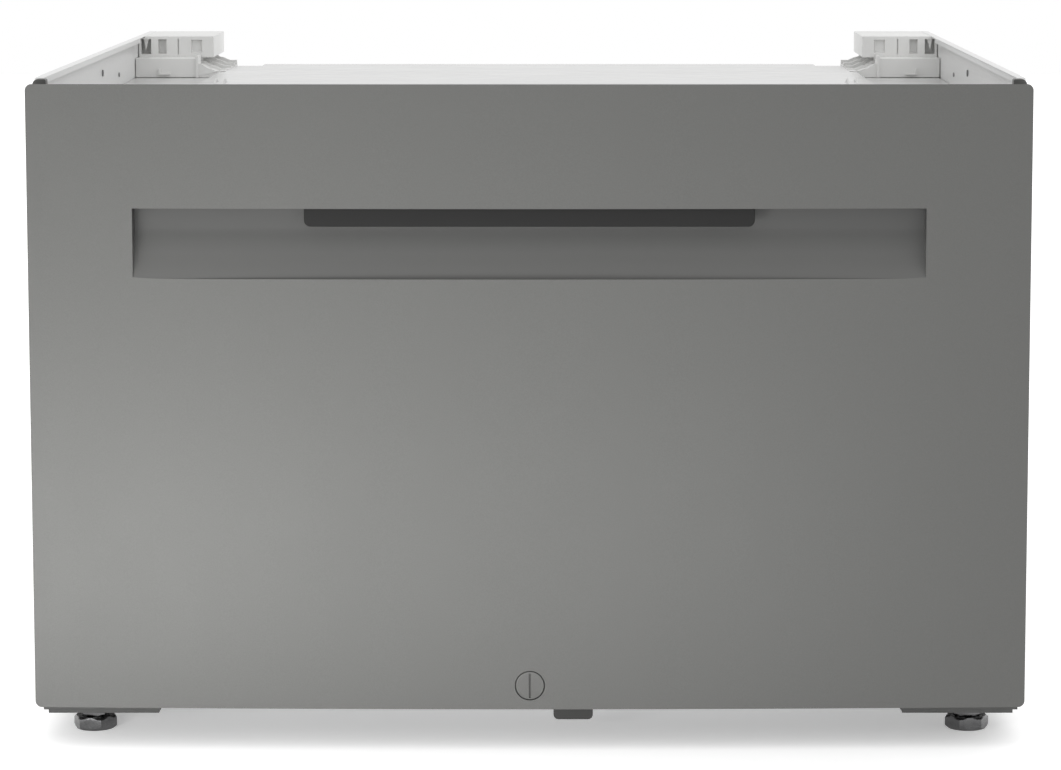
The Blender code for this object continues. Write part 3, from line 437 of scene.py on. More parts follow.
def combine(base, builder, operation="DIFFERENCE"):
    """Apply an exact Boolean of an object, or of a shape that is built for it, to base."""
    is_object = isinstance(builder, bpy.types.Object)
    tool = builder if is_object else make(base.name + "_tool", builder)
    step = base.modifiers.new(operation, "BOOLEAN")
    step.operation = operation
    step.solver = "EXACT"
    step.object = tool
    apply_modifiers(base)
    bpy.data.objects.remove(tool)


def cut_prism(base, outline, axis, low, high):
    combine(base, lambda bm: add_prism(bm, outline, axis, low, high))


def cut_bore(base, radius, centre, low, high, axis, count):
    combine(base, lambda bm: add_cylinder(bm, radius, centre, low, high, axis, count))


def apply_modifiers(base):
    graph = bpy.context.evaluated_depsgraph_get()
    done = bpy.data.meshes.new_from_object(base.evaluated_get(graph))
    looks = base.data.materials[:]
    slots = [face.material_index for face in done.polygons]
    base.modifiers.clear()
    base.data = done
    done.materials.clear()
    for each in looks:
        done.materials.append(each)
    if len(looks) > 1:
        done.polygons.foreach_set("material_index", slots)


def soften(made, degrees=30):
    made.data.shade_smooth()
    made.data.set_sharp_from_angle(angle=radians(degrees))


def flatten(made):
    """Weight the normals by area, so that broad faces stay flat beside their rounded edges."""
    step = made.modifiers.new("normals", "WEIGHTED_NORMAL")
    step.keep_sharp = True
    apply_modifiers(made)


def round_edges(made, width, segments=2, degrees=30):
    """Bevel the sharp edges, keep the flats flat, and apply."""
    edge = made.modifiers.new("edges", "BEVEL")
    edge.width = width
    edge.segments = segments
    edge.limit_method = "ANGLE"
    edge.angle_limit = radians(degrees)
    apply_modifiers(made)
    soften(made, 40)


def place(made, body, node_name=None):
    """Ride on a body and, if a CAD node is named, stand for it."""
    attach(made, body)
    if node_name:
        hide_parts(node_name)


def refined(node_name, look, width, segments=2):
    """A finer copy of a CAD node: facets merged into flats, and its edges rounded."""
    made = add_object(node_name + "_fine", NODES[node_name].data.copy())
    bm = bmesh.new()
    bm.from_mesh(made.data)
    bmesh.ops.remove_doubles(bm, verts=bm.verts, dist=0.00002)
    bmesh.ops.dissolve_limit(bm, angle_limit=radians(1.0), verts=bm.verts, edges=bm.edges)
    bm.to_mesh(made.data)
    bm.free()
    made.data.materials.clear()
    made.data.materials.append(LOOK[look])
    round_edges(made, width, segments)
    return made


# ---- pieces refined from CAD

BODY_OF = {member: body for body, members in frame["record"]["behaviour"]["bodies"].items()
           for member in members}


def stand_for(made, node_name, degrees=None):
    """Take a CAD node's place, on its body, after smoothing below the angle given."""
    if degrees:
        soften(made, degrees)
    flatten(made)
    place(made, BODY_OF[node_name], node_name)


# ---- drawer front

PANEL_LOW, PANEL_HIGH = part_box("front_panel")
HALF = PANEL_HIGH.x
PEAK_Y = PANEL_LOW.y
PANEL_BACK_Y = PANEL_HIGH.y
BOW = 0.0076
SKIN = 0.0012
TOP_FALL = 0.003
FOLD = 0.005
SIDE_RADIUS = 0.0045
RECESS_HALF = 0.2765
RECESS_TOP = 0.3838
RECESS_BOTTOM = 0.3347
RECESS_BACK_Y = -0.3705
RECESS_TOE_Y = -0.3868
LOCK_Z = 0.0464
LOCK_R = 0.0102
LEVER_BORE = 0.0018


def face_y(x):
    return PEAK_Y + BOW * (x / HALF) ** 2


def bowed_outline(half, inset, back, columns=56):
    points = []
    for i in range(columns + 1):
        x = -half + 2 * half * i / columns
        points.append((x, face_y(x) + inset))
    return points + [(half, back), (-half, back)]


def recess_section(grow, bends=16):
    """Flat back wall, a round bend, and a slope out to the face."""
    front = PEAK_Y - 0.01
    back = RECESS_BACK_Y + grow
    start, corner = Vector((back, 0.369)), Vector((back, 0.3583 - grow))
    end = Vector((back - 0.008, 0.3467 - grow))
    bend = []
    for i in range(bends + 1):
        t = i / bends
        bend.append(tuple(start * (1 - t) ** 2 + corner * 2 * t * (1 - t) + end * t ** 2))
    return ([(front, RECESS_TOP + grow), (back, RECESS_TOP + grow)] + bend
            + [(RECESS_TOE_Y, RECESS_BOTTOM - grow), (front, RECESS_BOTTOM - grow)])


def tilt_top(bm):
    """Let the folded top edge fall towards the back."""
    for vert in bm.verts:
        if vert.co.z > PANEL_HIGH.z - FOLD and vert.co.y > -0.36:
            vert.co.z -= TOP_FALL


def build_front_panel():
    def outer(bm):
        add_prism(bm, bowed_outline(HALF, 0, PANEL_BACK_Y), "Z", PANEL_LOW.z, PANEL_HIGH.z)
        corners = []
        for edge in bm.edges:
            run = edge.verts[1].co - edge.verts[0].co
            at_side = all(abs(abs(v.co.x) - HALF) < 1e-5 for v in edge.verts)
            if at_side and abs(run.y) > 0.01:
                corners.append(edge)
        bmesh.ops.bevel(bm, geom=corners, offset=SIDE_RADIUS, segments=8, profile=0.5,
                        affect="EDGES")
        tilt_top(bm)
    panel = make("drawer_front", outer, "graphite")
    cut_prism(panel, recess_section(0), "X", -RECESS_HALF, RECESS_HALF)
    round_edges(panel, 0.0011, 3, 40)

    def inside(bm):
        add_prism(bm, bowed_outline(HALF - SKIN, SKIN, PANEL_BACK_Y + 0.01), "Z",
                  PANEL_LOW.z + SKIN, PANEL_HIGH.z - SKIN)
        tilt_top(bm)
    hollow = make("panel_inside", inside)
    outer_half = RECESS_HALF + SKIN
    cut_prism(hollow, recess_section(SKIN), "X", -outer_half, outer_half)
    combine(panel, hollow)
    cut_prism(panel, rounded(-0.1578, 0.1578, -0.388, -0.379, 0.002), "Z",
              RECESS_TOP - 0.003, RECESS_TOP + 0.003)
    cut_bore(panel, LOCK_R + 0.0004, (0, LOCK_Z), PEAK_Y - 0.01, -0.370, "Y", 72)
    soften(panel, 32)
    # the faces inside the recess get the second look: graphite paint with painted shade
    panel.data.materials.append(LOOK["recess"])
    for face in panel.data.polygons:
        x, y, z = face.center
        in_width = abs(x) < RECESS_HALF + 0.0004
        in_height = RECESS_BOTTOM - 0.001 < z < RECESS_TOP + 0.0004
        if in_width and in_height and face_y(x) + 0.0009 < y < RECESS_BACK_Y + 0.0004:
            face.material_index = 1
    stand_for(panel, "front_panel")


def build_lever():
    half, top, bottom, corner = 0.157, 0.3968, 0.3708, 0.0045
    outline = [(half, top), (-half, top)]
    for side, start in ((-1, 180), (1, 270)):
        outline += arc(side * (half - corner), bottom + corner, corner, start, 8)
    lever = prism("pull_lever", outline, "Y", -0.3845, -0.3815, "lever")
    round_edges(lever, 0.0008, 3)
    combine(lever, lambda bm: add_cylinder(bm, 0.0042, LEVER_AXIS, -half, half, "X", 32), "UNION")
    cut_bore(lever, LEVER_BORE, LEVER_AXIS, -0.170, 0.170, "X", 24)
    stand_for(lever, "handle_lever", 30)


def build_lock():
    def knob(bm):
        front = PEAK_Y + 0.0001
        profile = [(0.0001, front), (LOCK_R - 0.001, front), (LOCK_R - 0.0005, front + 0.0001),
                   (LOCK_R - 0.0001, front + 0.0005), (LOCK_R, front + 0.001), (LOCK_R, -0.387),
                   (0.005, -0.387), (0.005, -0.337)]
        add_turned(bm, profile, (0, LOCK_Z), "Y", 72)
    made = make("coin_lock", knob, "graphite")
    slit = rounded(-0.0008, 0.0008, LOCK_Z - 0.0088, LOCK_Z + 0.0088, 0.00075, 6)
    cut_prism(made, slit, "Y", -0.400, -0.389)
    stand_for(made, "lock_knob", 25)


def build_posts():
    near, far, chamfer, radius = 0.3402, 0.3498, 0.0008, 0.0042
    for word, side in SIDES:
        low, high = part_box(f"{word}_corner_post")
        top = high.z - 0.0004
        outline = [(near, low.z), (near, top - chamfer), (near + chamfer, top)]
        outline += arc(far - radius, top - radius, radius, 90, 8, -90) + [(far, low.z)]
        post = prism(f"{word}_front_post", mirrored(outline, side), "Y", low.y, high.y, "graphite")
        round_edges(post, 0.0005, 2, 50)
        stand_for(post, f"{word}_corner_post")


def build_liner():
    """Inner sheet with two ears for the lever's pin and four pressed ribs."""
    liner = prism("front_liner", rectangle(-0.3472, 0.3472, 0.032, 0.4655), "Y",
                  -0.352, -0.3505, "zinc")

    def ears(bm):
        for low, high in ((-0.164, -0.1605), (0.1605, 0.164)):
            add_prism(bm, rounded(-0.387, -0.3515, 0.392, 0.406, 0.003), "X", low, high)
    combine(liner, ears, "UNION")

    def ribs(bm):
        for z in (0.090, 0.150, 0.210, 0.270):
            add_prism(bm, rounded(-0.290, 0.290, z, z + 0.018, 0.006), "Y", -0.3538, -0.3515)
    combine(liner, ribs, "UNION")

    def bores(bm):
        add_cylinder(bm, LEVER_BORE, LEVER_AXIS, -0.170, 0.170, "X", 24)
        add_cylinder(bm, 0.0056, (0, LOCK_Z), -0.360, -0.345, "Y", 32)
    combine(liner, bores)
    round_edges(liner, 0.0004, 1)
    stand_for(liner, "panel_liner")


# ---- feet

FOOT_TURN = {"left": -0.15, "right": 0.10}
FOOT_X = 0.316
FOOT_ROWS = (("front", -0.319), ("rear", 0.345))


def build_feet():
    """Each foot: a sole chamfered like a nut, a threaded stem, and the lock nut above."""
    for row, y in FOOT_ROWS:
        for word, side in SIDES:
            centre, turn, name = (side * FOOT_X, y), FOOT_TURN[word], f"{row}_{word}_foot"

            def stem_and_nut(bm):
                add_thread(bm, centre, 0.006, 0.0052, 0.0088, 0.043)
                add_nut(bm, centre, 0.011, 0.0099, 0.0156, turn + 0.4, 0.0012)
            foot = make(name + "_fine",
                        lambda bm: add_nut(bm, centre, 0.016, 0.0, 0.0095, turn, 0.0022), "foot")
            join_meshes(foot, [make("stem", stem_and_nut)])
            stand_for(foot, name, 28)


def add_nut(bm, centre, reach, low, high, turn, chamfer, count=48):
    """Hexagonal prism whose corners are turned off by a cone at both ends."""
    flat = reach * cos(pi / 6)
    levels = [(low, reach - chamfer), (low + chamfer * 0.45, reach - chamfer * 0.45),
              (low + chamfer * 0.9, reach), (high - chamfer * 0.9, reach),
              (high - chamfer * 0.45, reach - chamfer * 0.45), (high, reach - chamfer)]
    loops = []
    for z, cone in levels:
        loop = []
        for i in range(count):
            angle = tau * i / count
            from_flat = (angle + pi / 6) % (pi / 3) - pi / 6
            radius = min(flat / cos(from_flat), cone)
            loop.append(around(centre, radius, angle + turn + pi / 6, z))
        loops.append(loop)
    add_loft(bm, loops)


def add_thread(bm, centre, outer, inner, low, high, pitch=0.0015, count=24):
    """Stem whose radius winds between crest and root along a helix."""
    rows = int((high - low) / pitch * 6)
    loops = []
    for row in range(rows + 1):
        z = low + (high - low) * row / rows
        loop = []
        for i in range(count):
            phase = ((z - low) / pitch - i / count) % 1.0
            radius = inner + (outer - inner) * (1 - abs(2 * phase - 1))
            loop.append(around(centre, radius, tau * i / count, z))
        loops.append(loop)
    add_loft(bm, loops)


def join_meshes(base, others):
    """Put several closed meshes into one object."""
    bm = bmesh.new()
    for each in [base] + others:
        bm.from_mesh(each.data)
    bm.to_mesh(base.data)
    bm.free()
    for each in others:
        bpy.data.objects.remove(each)


# ---- cabinet

SHELF_Z = 0.4372
PLATE_TOP = 0.4425
PLATE_HALF = 0.277
RIM = 0.3432


def build_corner_block(word, side):
    """Ribbed block: drafted pockets in front, gussets down to the plate, a fin and a stop rib."""
    wall, rear, inner, front = 0.3485, 0.3895, 0.283, 0.291
    seat, step, foot_top = 0.4706, 0.472, 0.4535
    shelf = SHELF_Z + 0.0003

    def part(name, outline, low, high):
        return prism(name, mirrored(outline, side), "Y", low, high, "block")
    block = part(f"{word}_seat_block", [(inner, foot_top), (wall, foot_top), (wall, seat),
                                        (RIM, seat), (RIM, step), (inner, step)], front, rear)
    round_edges(block, 0.0007, 2)

    def pocket(bm, low, high, depth, draft):
        floor = rectangle(low + draft, high - draft, 0.4562 + draft * 1.6, 0.4696 - draft)
        mouth = rectangle(low, high, 0.4562, 0.4696)
        add_loft(bm, [[(side * u, y, v) for u, v in outline]
                      for outline, y in ((mouth, front - 0.002), (floor, front + depth))])
    for values in ((0.2925, 0.3035, 0.0032, 0.0015), (0.3132, 0.3145, 0.002, 0.0002),
                   (0.324, 0.3316, 0.006, 0.0008), (0.3375, 0.3465, 0.011, 0.0006)):
        combine(block, lambda bm: pocket(bm, *values))
    tier = part(f"{word}_seat_tier", rectangle(0.295, wall, shelf, 0.454), 0.266, rear - 0.0005)
    round_edges(tier, 0.0006, 2)

    def slope(name, low, high, drop):
        foot = PLATE_HALF + 0.0003
        return part(name, [(0.297, shelf), (foot, shelf), (foot, PLATE_TOP),
                           (0.271, PLATE_TOP + 0.0003), (0.271, 0.4465 - drop),
                           (0.2772, 0.4465 - drop), (0.283, 0.449 - drop),
                           (0.286, 0.4495 - drop), (0.2915, 0.4532 - drop),
                           (0.297, 0.4535 - drop)], low, high)
    pieces = [tier, slope("ramp", 0.269, rear - 0.001, 0.0052)]
    for k, drop in enumerate((0.0042, 0.003, 0.0019, 0.0009, 0.0)):
        start = 0.267 + 0.0285 * k
        pieces.append(slope("gusset", start, start + 0.004, drop))
    stop = [(0.3285, 0.44), (0.3185, 0.44), (0.3185, 0.441),
            (0.327, 0.441), (0.327, 0.445), (0.3285, 0.445)]
    web = [(0.3396, 0.4697), (0.344, 0.4697), (0.3424, 0.46)]
    pieces += [part("fin", rectangle(0.294, 0.2962, shelf, 0.456), 0.264, 0.2905),
               part("stop", stop, 0.2632, 0.2665), part("web", web, 0.2925, 0.2955)]
    join_meshes(block, pieces)
    stand_for(block, f"{word}_corner_block", 30)


INSERTS = ((0.039, 0.454), (0.148, 0.4466))


def build_side(word, side):
    """Folded side sheet: turned-down hem on the top flange, and two threaded inserts inside."""
    panel = refined(f"{word}_side_panel", "white", 0.0009, 3)
    hem = mirrored(rectangle(RIM + 0.0003, RIM + 0.0014, 0.4676, 0.4712), side)
    join_meshes(panel, [prism("hem", hem, "Y", -0.337, 0.262)])
    stand_for(panel, f"{word}_side_panel", 30)
    for k, (y, z) in enumerate(INSERTS):
        made = make(f"{word}_insert_{k + 1}",
                    lambda bm: add_nut(bm, (y, z), 0.003 - 0.001 * k, 0.0, 0.001, 0.0, 0.0003, 24),
                    "insert")
        for vert in made.data.vertices:
            u, v, w = vert.co
            vert.co = (side * (0.3489 - w), u, v)
        if side > 0:
            made.data.flip_normals()
        cut_bore(made, 0.0012 - 0.0005 * k, (y, z), *span(side, 0.345, 0.3484), "X", 20)
        soften(made, 30)
        place(made, "cabinet")


def build_top_cover():
    """Gloss cover whose ends are cut low at the back, with two gussets on each side."""
    cover = refined("top_cover", "cover", 0.0006)

    def low_ends(bm):
        for _, side in SIDES:
            outline = [(0.2452, 0.444), (0.248, 0.4407), (0.2712, 0.4407), (0.2712, 0.444)]
            add_prism(bm, mirrored(outline, side), "Y", 0.36, 0.395)
    combine(cover, low_ends)

    def gussets(bm):
        start, foot = 0.1, PLATE_TOP - 0.0004
        for _, side in SIDES:
            for x, reach in ((0.2635, 0.012), (0.256, 0.009)):
                outline = [(start, foot), (start + reach * 2.4, foot),
                           (start + reach * 1.1, PLATE_TOP + 0.003)]
                add_prism(bm, outline, "X", *span(side, x, x + 0.0016))
    join_meshes(cover, [make("gussets", gussets)])
    stand_for(cover, "top_cover", 30)


# ---- round inner parts

# Profile of both push buttons, in millimetres
PUSH_KEY = [(9, 412.5), (9, 418.2), (8.7, 419), (8, 419.5), (6.6, 419.5), (6, 419.1), (3, 418.9)]

# node: (look, axis, centre, closed ring, facets, profile of radius and place in millimetres)
TURNED = {
    "tub_ring": ("pale", "Z", AXIS, True, 144,
        [(168, 380.3), (223.5, 380.3), (223.5, 384.3), (222.8, 384.8), (206, 384.8), (205, 386.6),
         (202, 386.6), (201, 384.8), (172.5, 384.8), (171.5, 385.6), (171.5, 391.2), (170.8, 392),
         (168.6, 392), (168, 391.4)]),
    "balance_ring": ("pale", "Z", AXIS, True, 144,
        [(183, 350.3), (202, 350.3), (202, 366), (201.1, 368.8), (199, 371.1), (196, 372),
         (189, 372), (186, 371.1), (183.8, 368.8), (183, 366)]),
    "bearing_housing": ("cast", "Z", AXIS, True, 72,
        [(18.5, 129.7), (59.5, 129.7), (60, 129.2), (60, 124.6), (59.2, 124), (38, 122.5),
         (34.5, 120), (34, 117), (34, 98), (30.5, 98), (30.5, 126.5), (18.5, 126.5)]),
    "lower_bearing": ("steel", "Z", AXIS, True, 72,
        [(16.3, 99), (20, 99), (20.3, 99.8), (26.2, 99.8), (26.5, 99), (30.2, 99), (30.2, 109),
         (16.3, 109)]),
    "upper_bearing": ("steel", "Z", AXIS, True, 72,
        [(16.3, 116), (30.2, 116), (30.2, 126), (26.5, 126), (26.2, 125.2), (20.3, 125.2),
         (20, 126), (16.3, 126)]),
    "rotor": ("zinc", "Z", AXIS, True, 120,
        [(11.8, 86), (50, 86), (52, 87), (86, 87), (88, 86), (110.5, 86), (112, 87.5), (112, 118),
         (108, 118), (108, 89), (26, 89), (20, 95), (11.8, 95)]),
    "drum_shaft": ("steel", "Z", AXIS, True, 72,
        [(11.8, 96.5), (15.6, 96.5), (16, 97), (16, 136.6), (16.6, 137.1), (44.5, 138), (45, 138.5),
         (45, 141.5), (44.5, 142), (11.8, 142)]),
    "drum": ("drum", "Z", AXIS, True, 160,
        [(12.2, 142.3), (70, 142.3), (73, 143.2), (150, 143.2), (153, 142.3), (191, 142.3),
         (195.5, 144), (198.8, 147.5), (200, 152), (200, 240), (199.2, 242.5), (199.2, 249.5),
         (200, 252), (200, 350), (198.8, 350), (198.8, 252), (198, 249.5), (198, 242.5),
         (198.8, 240), (198.8, 152.6), (197.7, 148.2), (194.7, 145), (190.8, 143.5), (153, 143.5),
         (150, 144.4), (73, 144.4), (70, 143.5), (12.2, 143.5)]),
    "lid_window": ("smoked", "Z", AXIS, False, 144,
        [(134.6, 426), (134.6, 427.8), (134.1, 428.4), (132.5, 428.7), (129, 430)]),
    "drain_outlet": ("dark", "Y", DRAIN, True, 48,
        [(11, 350), (23.5, 350), (24, 350.5), (24, 368.5), (23.5, 369), (15.5, 369), (15.5, 375),
         (14.8, 376.5), (15.5, 378), (14.8, 379.5), (15.5, 381), (14.2, 388.9), (13.8, 389),
         (11, 389)]),
    "cord_gland": ("dark", "Y", (0.285, 0.300), True, 48,
        [(4.5, 365), (12.5, 365), (13, 365.5), (13, 370.2), (9.8, 370.2), (9.8, 372.2), (13, 372.2),
         (13, 373.5), (11.6, 375.2), (11.6, 376.8), (10.5, 377.2), (10.5, 379.6), (11.3, 380),
         (10.7, 382), (9.6, 382.4), (9.6, 384.6), (10, 385), (8, 388), (4.5, 388)]),
    "power_button": ("key", "Z", (-0.180, KEYS_Y), False, 64, PUSH_KEY),
    "start_button": ("key", "Z", (-0.140, KEYS_Y), False, 64, PUSH_KEY),
    "drive_shaft": ("steel", "Z", AXIS, False, 48,
        [(10, 80), (10.8, 80.8), (10.8, 84), (10, 84.4), (10, 85), (11.5, 85.4), (11.5, 146.2),
         (10.7, 147.2)]),
    "lever_pin": ("steel", "X", LEVER_AXIS, False, 32,
        [(1.1, -165.5), (1.5, -165.1), (1.5, 165.1), (1.1, 165.5)]),
}


def build_turned():
    for node_name, (look, axis, centre, closed, count, millimetres) in TURNED.items():
        profile = [(radius / 1000, along / 1000) for radius, along in millimetres]
        made = make(node_name + "_fine",
                    lambda bm: add_turned(bm, profile, centre, axis, count, closed), look)
        stand_for(made, node_name, 38)


def build_dial():
    """Knurled knob with a groove for a pointer."""
    x, y = DIAL
    grips, skirt = 45, 0.0163

    def knob(bm):
        loops = []
        for radius, z in ((0.003, 0.4095), (0.003, 0.4174), (0.0164, 0.4174), (0.017, 0.418),
                          (0.017, 0.4262), (0.0166, 0.4272), (0.0155, 0.428), (0.0135, 0.428),
                          (0.0128, 0.4277)):
            loop = []
            for i in range(grips * 4):
                angle = tau * i / (grips * 4)
                grip = 0.00035 * (cos(angle * grips) - 1) / 2 if radius > skirt else 0
                loop.append(around(DIAL, radius + grip, angle, z))
            loops.append(loop)
        add_loft(bm, loops)
    dial = make("program_knob", knob, "key")
    groove = rounded(x - 0.0008, x + 0.0008, y - 0.016, y - 0.006, 0.0007, 6)
    cut_prism(dial, groove, "Z", 0.427, 0.43)
    stand_for(dial, "program_dial", 35)


def build_deck():
    """Moulded deck with a round mouth, stiffening ribs, the cup, hinge posts and pins."""
    low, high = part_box("drawer_bin")
    cup = (0.214, 0.262, 0.036, 0.080)
    through = (0.39, 0.42)
    deck = prism("deck_moulding", rounded(low.x, high.x, low.y, high.y, 0.003, 4), "Z",
                 0.4003, 0.4043, "deck")
    cut_bore(deck, 0.165, AXIS, *through, "Z", 144)
    cut_prism(deck, rounded(*cup, 0.003, 4), "Z", *through)
    for rod in STRUTS:
        cut_bore(deck, 0.0043, rod, *through, "Z", 24)
    round_edges(deck, 0.0008, 2)

    def details(bm):
        loops = []
        for grow, z in ((0.0015, 0.345), (0.0015, 0.4023), (0, 0.4023), (0, 0.3465)):
            outline = rounded(cup[0] - grow, cup[1] + grow, cup[2] - grow, cup[3] + grow,
                              0.004 + grow, 5)
            loops.append([(x, y, z) for x, y in outline])
        add_loft(bm, loops)
        post = [(0.0625, 0.4035), (0.0745, 0.4035), (0.0745, 0.4262), (0.0738, 0.428),
                (0.072, 0.429), (0.065, 0.429), (0.0632, 0.428), (0.0625, 0.4262)]
        for _, side in SIDES:
            add_prism(bm, post, "X", *span(side, 0.131, 0.137))
        for _, side in SIDES:
            add_cylinder(bm, 0.003, LID_AXIS, *span(side, 0.112, 0.134), "X", 32)
        for _, side in SIDES:
            for x in (0.225, 0.245, 0.265, 0.285):
                near, far = span(side, x, x + 0.006)
                add_prism(bm, rounded(near, far, -0.260, -0.020, 0.0028, 4), "Z", 0.4036, 0.405)
    join_meshes(deck, [make("details", details)])
    stand_for(deck, "drawer_deck", 32)


def build_lid():
    """Lid shell with a round window seat, a grip lip in front and two knuckles."""
    half, front, back, low = 0.185, -0.290, 0.062, 0.4047

    def shell(bm):
        shapes = ((0.003, 0.426), (0.003, low), (0.0, low), (0.0, 0.4262), (0.0006, 0.4276),
                  (0.002, 0.4286), (0.004, 0.429))
        add_loft(bm, [[(x, y, z) for x, y in rounded(-half + inset, half - inset, front + inset,
                                                     back - inset, 0.030 - inset, 12)]
                      for inset, z in shapes])
    lid = make("lid_shell", shell, "deck")
    cut_bore(lid, 0.135, AXIS, 0.410, 0.440, "Z", 144)

    def notches(bm):
        for _, side in SIDES:
            near, far = span(side, 0.13, 0.138)
            add_box(bm, (near, back - 0.008, 0.4), (far, back + 0.006, 0.44))
    combine(lid, notches)
    cut_prism(lid, rounded(-0.040, 0.040, front - 0.015, front + 0.0045, 0.006, 8), "Z",
              0.399, 0.412)
    round_edges(lid, 0.0006, 2, 40)

    def details(bm):
        add_turned(bm, [(0.1352, 0.4258), (0.1352, 0.424), (0.13, 0.424), (0.13, 0.4232),
                        (0.1372, 0.4232), (0.1372, 0.4262)], AXIS, "Z", 144, closed=True)
        for _, side in SIDES:
            add_prism(bm, rectangle(0.059, 0.0622, 0.4182, 0.4268), "X",
                      *span(side, 0.1082, 0.1294))
            add_turned(bm, [(0.0034, side * 0.108), (0.006, side * 0.108),
                            (0.006, side * 0.1296), (0.0034, side * 0.1296)],
                       LID_AXIS, "X", 36, closed=True)
        for k in range(5):
            x = -0.150 + 0.075 * k
            add_prism(bm, rectangle(front + 0.0035, front + 0.03, 0.419, 0.4262), "X",
                      x - 0.0008, x + 0.0008)
    join_meshes(lid, [make("details", details)])
    stand_for(lid, "lid_frame", 32)


DOME_FOOT, DOME_RISE = 0.1509, 0.0281
DISC_R, DOME_RUN = 0.16, 0.146


def dome(t):
    """Height of the pulsator's face, from its rim at 0 to its hub at 1."""
    return DOME_FOOT + DOME_RISE * (3 * t ** 2 - 2 * t ** 3)


def build_pulsator():
    """Domed disc with three swept fins, rings of raised pips and a hub cap."""
    def disc(bm):
        profile = [(DISC_R, 0.1476), (0.1613, 0.148), (0.162, 0.1492), (0.1617, 0.1504),
                   (DISC_R, DOME_FOOT)]
        profile += [(DISC_R - DOME_RUN * i / 16, dome(i / 16)) for i in range(1, 17)]
        profile += [(0.0134, 0.18), (0.012, 0.1806), (0.006, 0.181)]
        add_turned(bm, profile, AXIS, "Z", 120)
    plate = make("pulsator_disc", disc, "pale")

    def details(bm):
        for k in range(3):
            add_loft(bm, [fin_section(k, i / 14) for i in range(15)])
        for reach, count in ((0.148, 36), (0.125, 30)):
            z = dome((DISC_R - reach) / DOME_RUN)
            pip = [(0.0028, z - 0.0006), (0.0026, z + 0.0006), (0.0016, z + 0.0011)]
            for i in range(count):
                add_turned(bm, pip, around(AXIS, reach, tau * (i + 0.5) / count), "Z", 12)
    join_meshes(plate, [make("details", details)])
    stand_for(plate, "pulsator", 35)


def fin_section(k, t):
    """Rounded section of the k-th fin, which sweeps back and sinks from hub to rim."""
    reach, base = 0.018 + 0.130 * t, 0.149
    angle = tau * k / 3 + 0.3 + 0.30 * t * t
    middle = Vector(around(AXIS, reach, angle))
    across = Vector((-sin(angle), cos(angle))) * (0.0135 - 0.006 * t)
    rise = 0.182 - 0.0215 * t ** 1.4 - base
    section = []
    for j in range(13):
        a = pi * j / 12
        side = middle + across * cos(a)
        section.append((side.x, side.y, base + rise * sin(a) ** 0.6))
    return section


def stretch(made, name, start, end):
    """Let a hose stand for its node: smooth it, hide the node and bake its place into the mesh."""
    soften(made, 60)
    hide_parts(name)
    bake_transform(made)


def build_hoses():
    """Hoses that reach from the cabinet to the drawer."""
    x, z = VALVE
    out = x + 0.0158

    def coil(bm):
        turns = helix(VALVE, 0.0158, 0.1345, 0.3255, 22, 24, "Y")[1:]
        path = [(out, 0.1303, z - 0.004), (out, 0.132, z - 0.002)] + turns
        add_tube(bm, path + [(out, 0.3297, z + 0.004)], 0.004, 12)
    stretch(make("recoil_fill_hose", coil, "hose"), "fill_hose", (x, 0.322, z), (x, 0.138, z))

    def bellows(bm):
        rings, low, high, cuff = 34, 0.1303, 0.3497, 0.008
        profile = [(0.0166, low), (0.0166, low + cuff)]
        step = (high - low - cuff * 2) / rings
        for i in range(rings):
            start = low + cuff + step * i
            profile += [(radius, start + step * share) for radius, share in (
                (0.0168, 0.12), (0.0188, 0.28), (0.0195, 0.45), (0.0188, 0.62), (0.0168, 0.78))]
        profile += [(0.0166, high - cuff), (0.0166, high)]
        add_turned(bm, profile, DRAIN, "Y", 48)
    x, z = DRAIN
    stretch(make("corrugated_drain_hose", bellows, "rubber"), "drain_hose",
            (x, 0.340, z), (x, 0.140, z))


def build_struts():
    """Suspension rods with a head, a seat and a round-wire spring."""
    for index, centre in enumerate(STRUTS):
        name = f"suspension_strut_{index + 1}"

        def rod(bm):
            add_turned(bm, [(0.0122, 0.105), (0.013, 0.1056), (0.013, 0.1094), (0.0122, 0.11),
                            (0.004, 0.1104), (0.004, 0.4043), (0.009, 0.4046), (0.009, 0.4066),
                            (0.0083, 0.4073), (0.003, 0.4073)], centre, "Z", 40)
            add_tube(bm, helix(centre, 0.0095, 0.1118, 0.1618, 6, 20), 0.0015, 10)
        strut = make(name + "_rod", rod, "steel")
        stand_for(strut, name, 40)


def build_lever_spring():
    def wire(bm):
        add_tube(bm, helix((0, 0.3915), 0.0036, -0.3803, -0.3532, 8, 18, "Y"), 0.00048, 8)
    made = make("lever_return_spring", wire, "spring")
    stand_for(made, "lever_spring", 60)


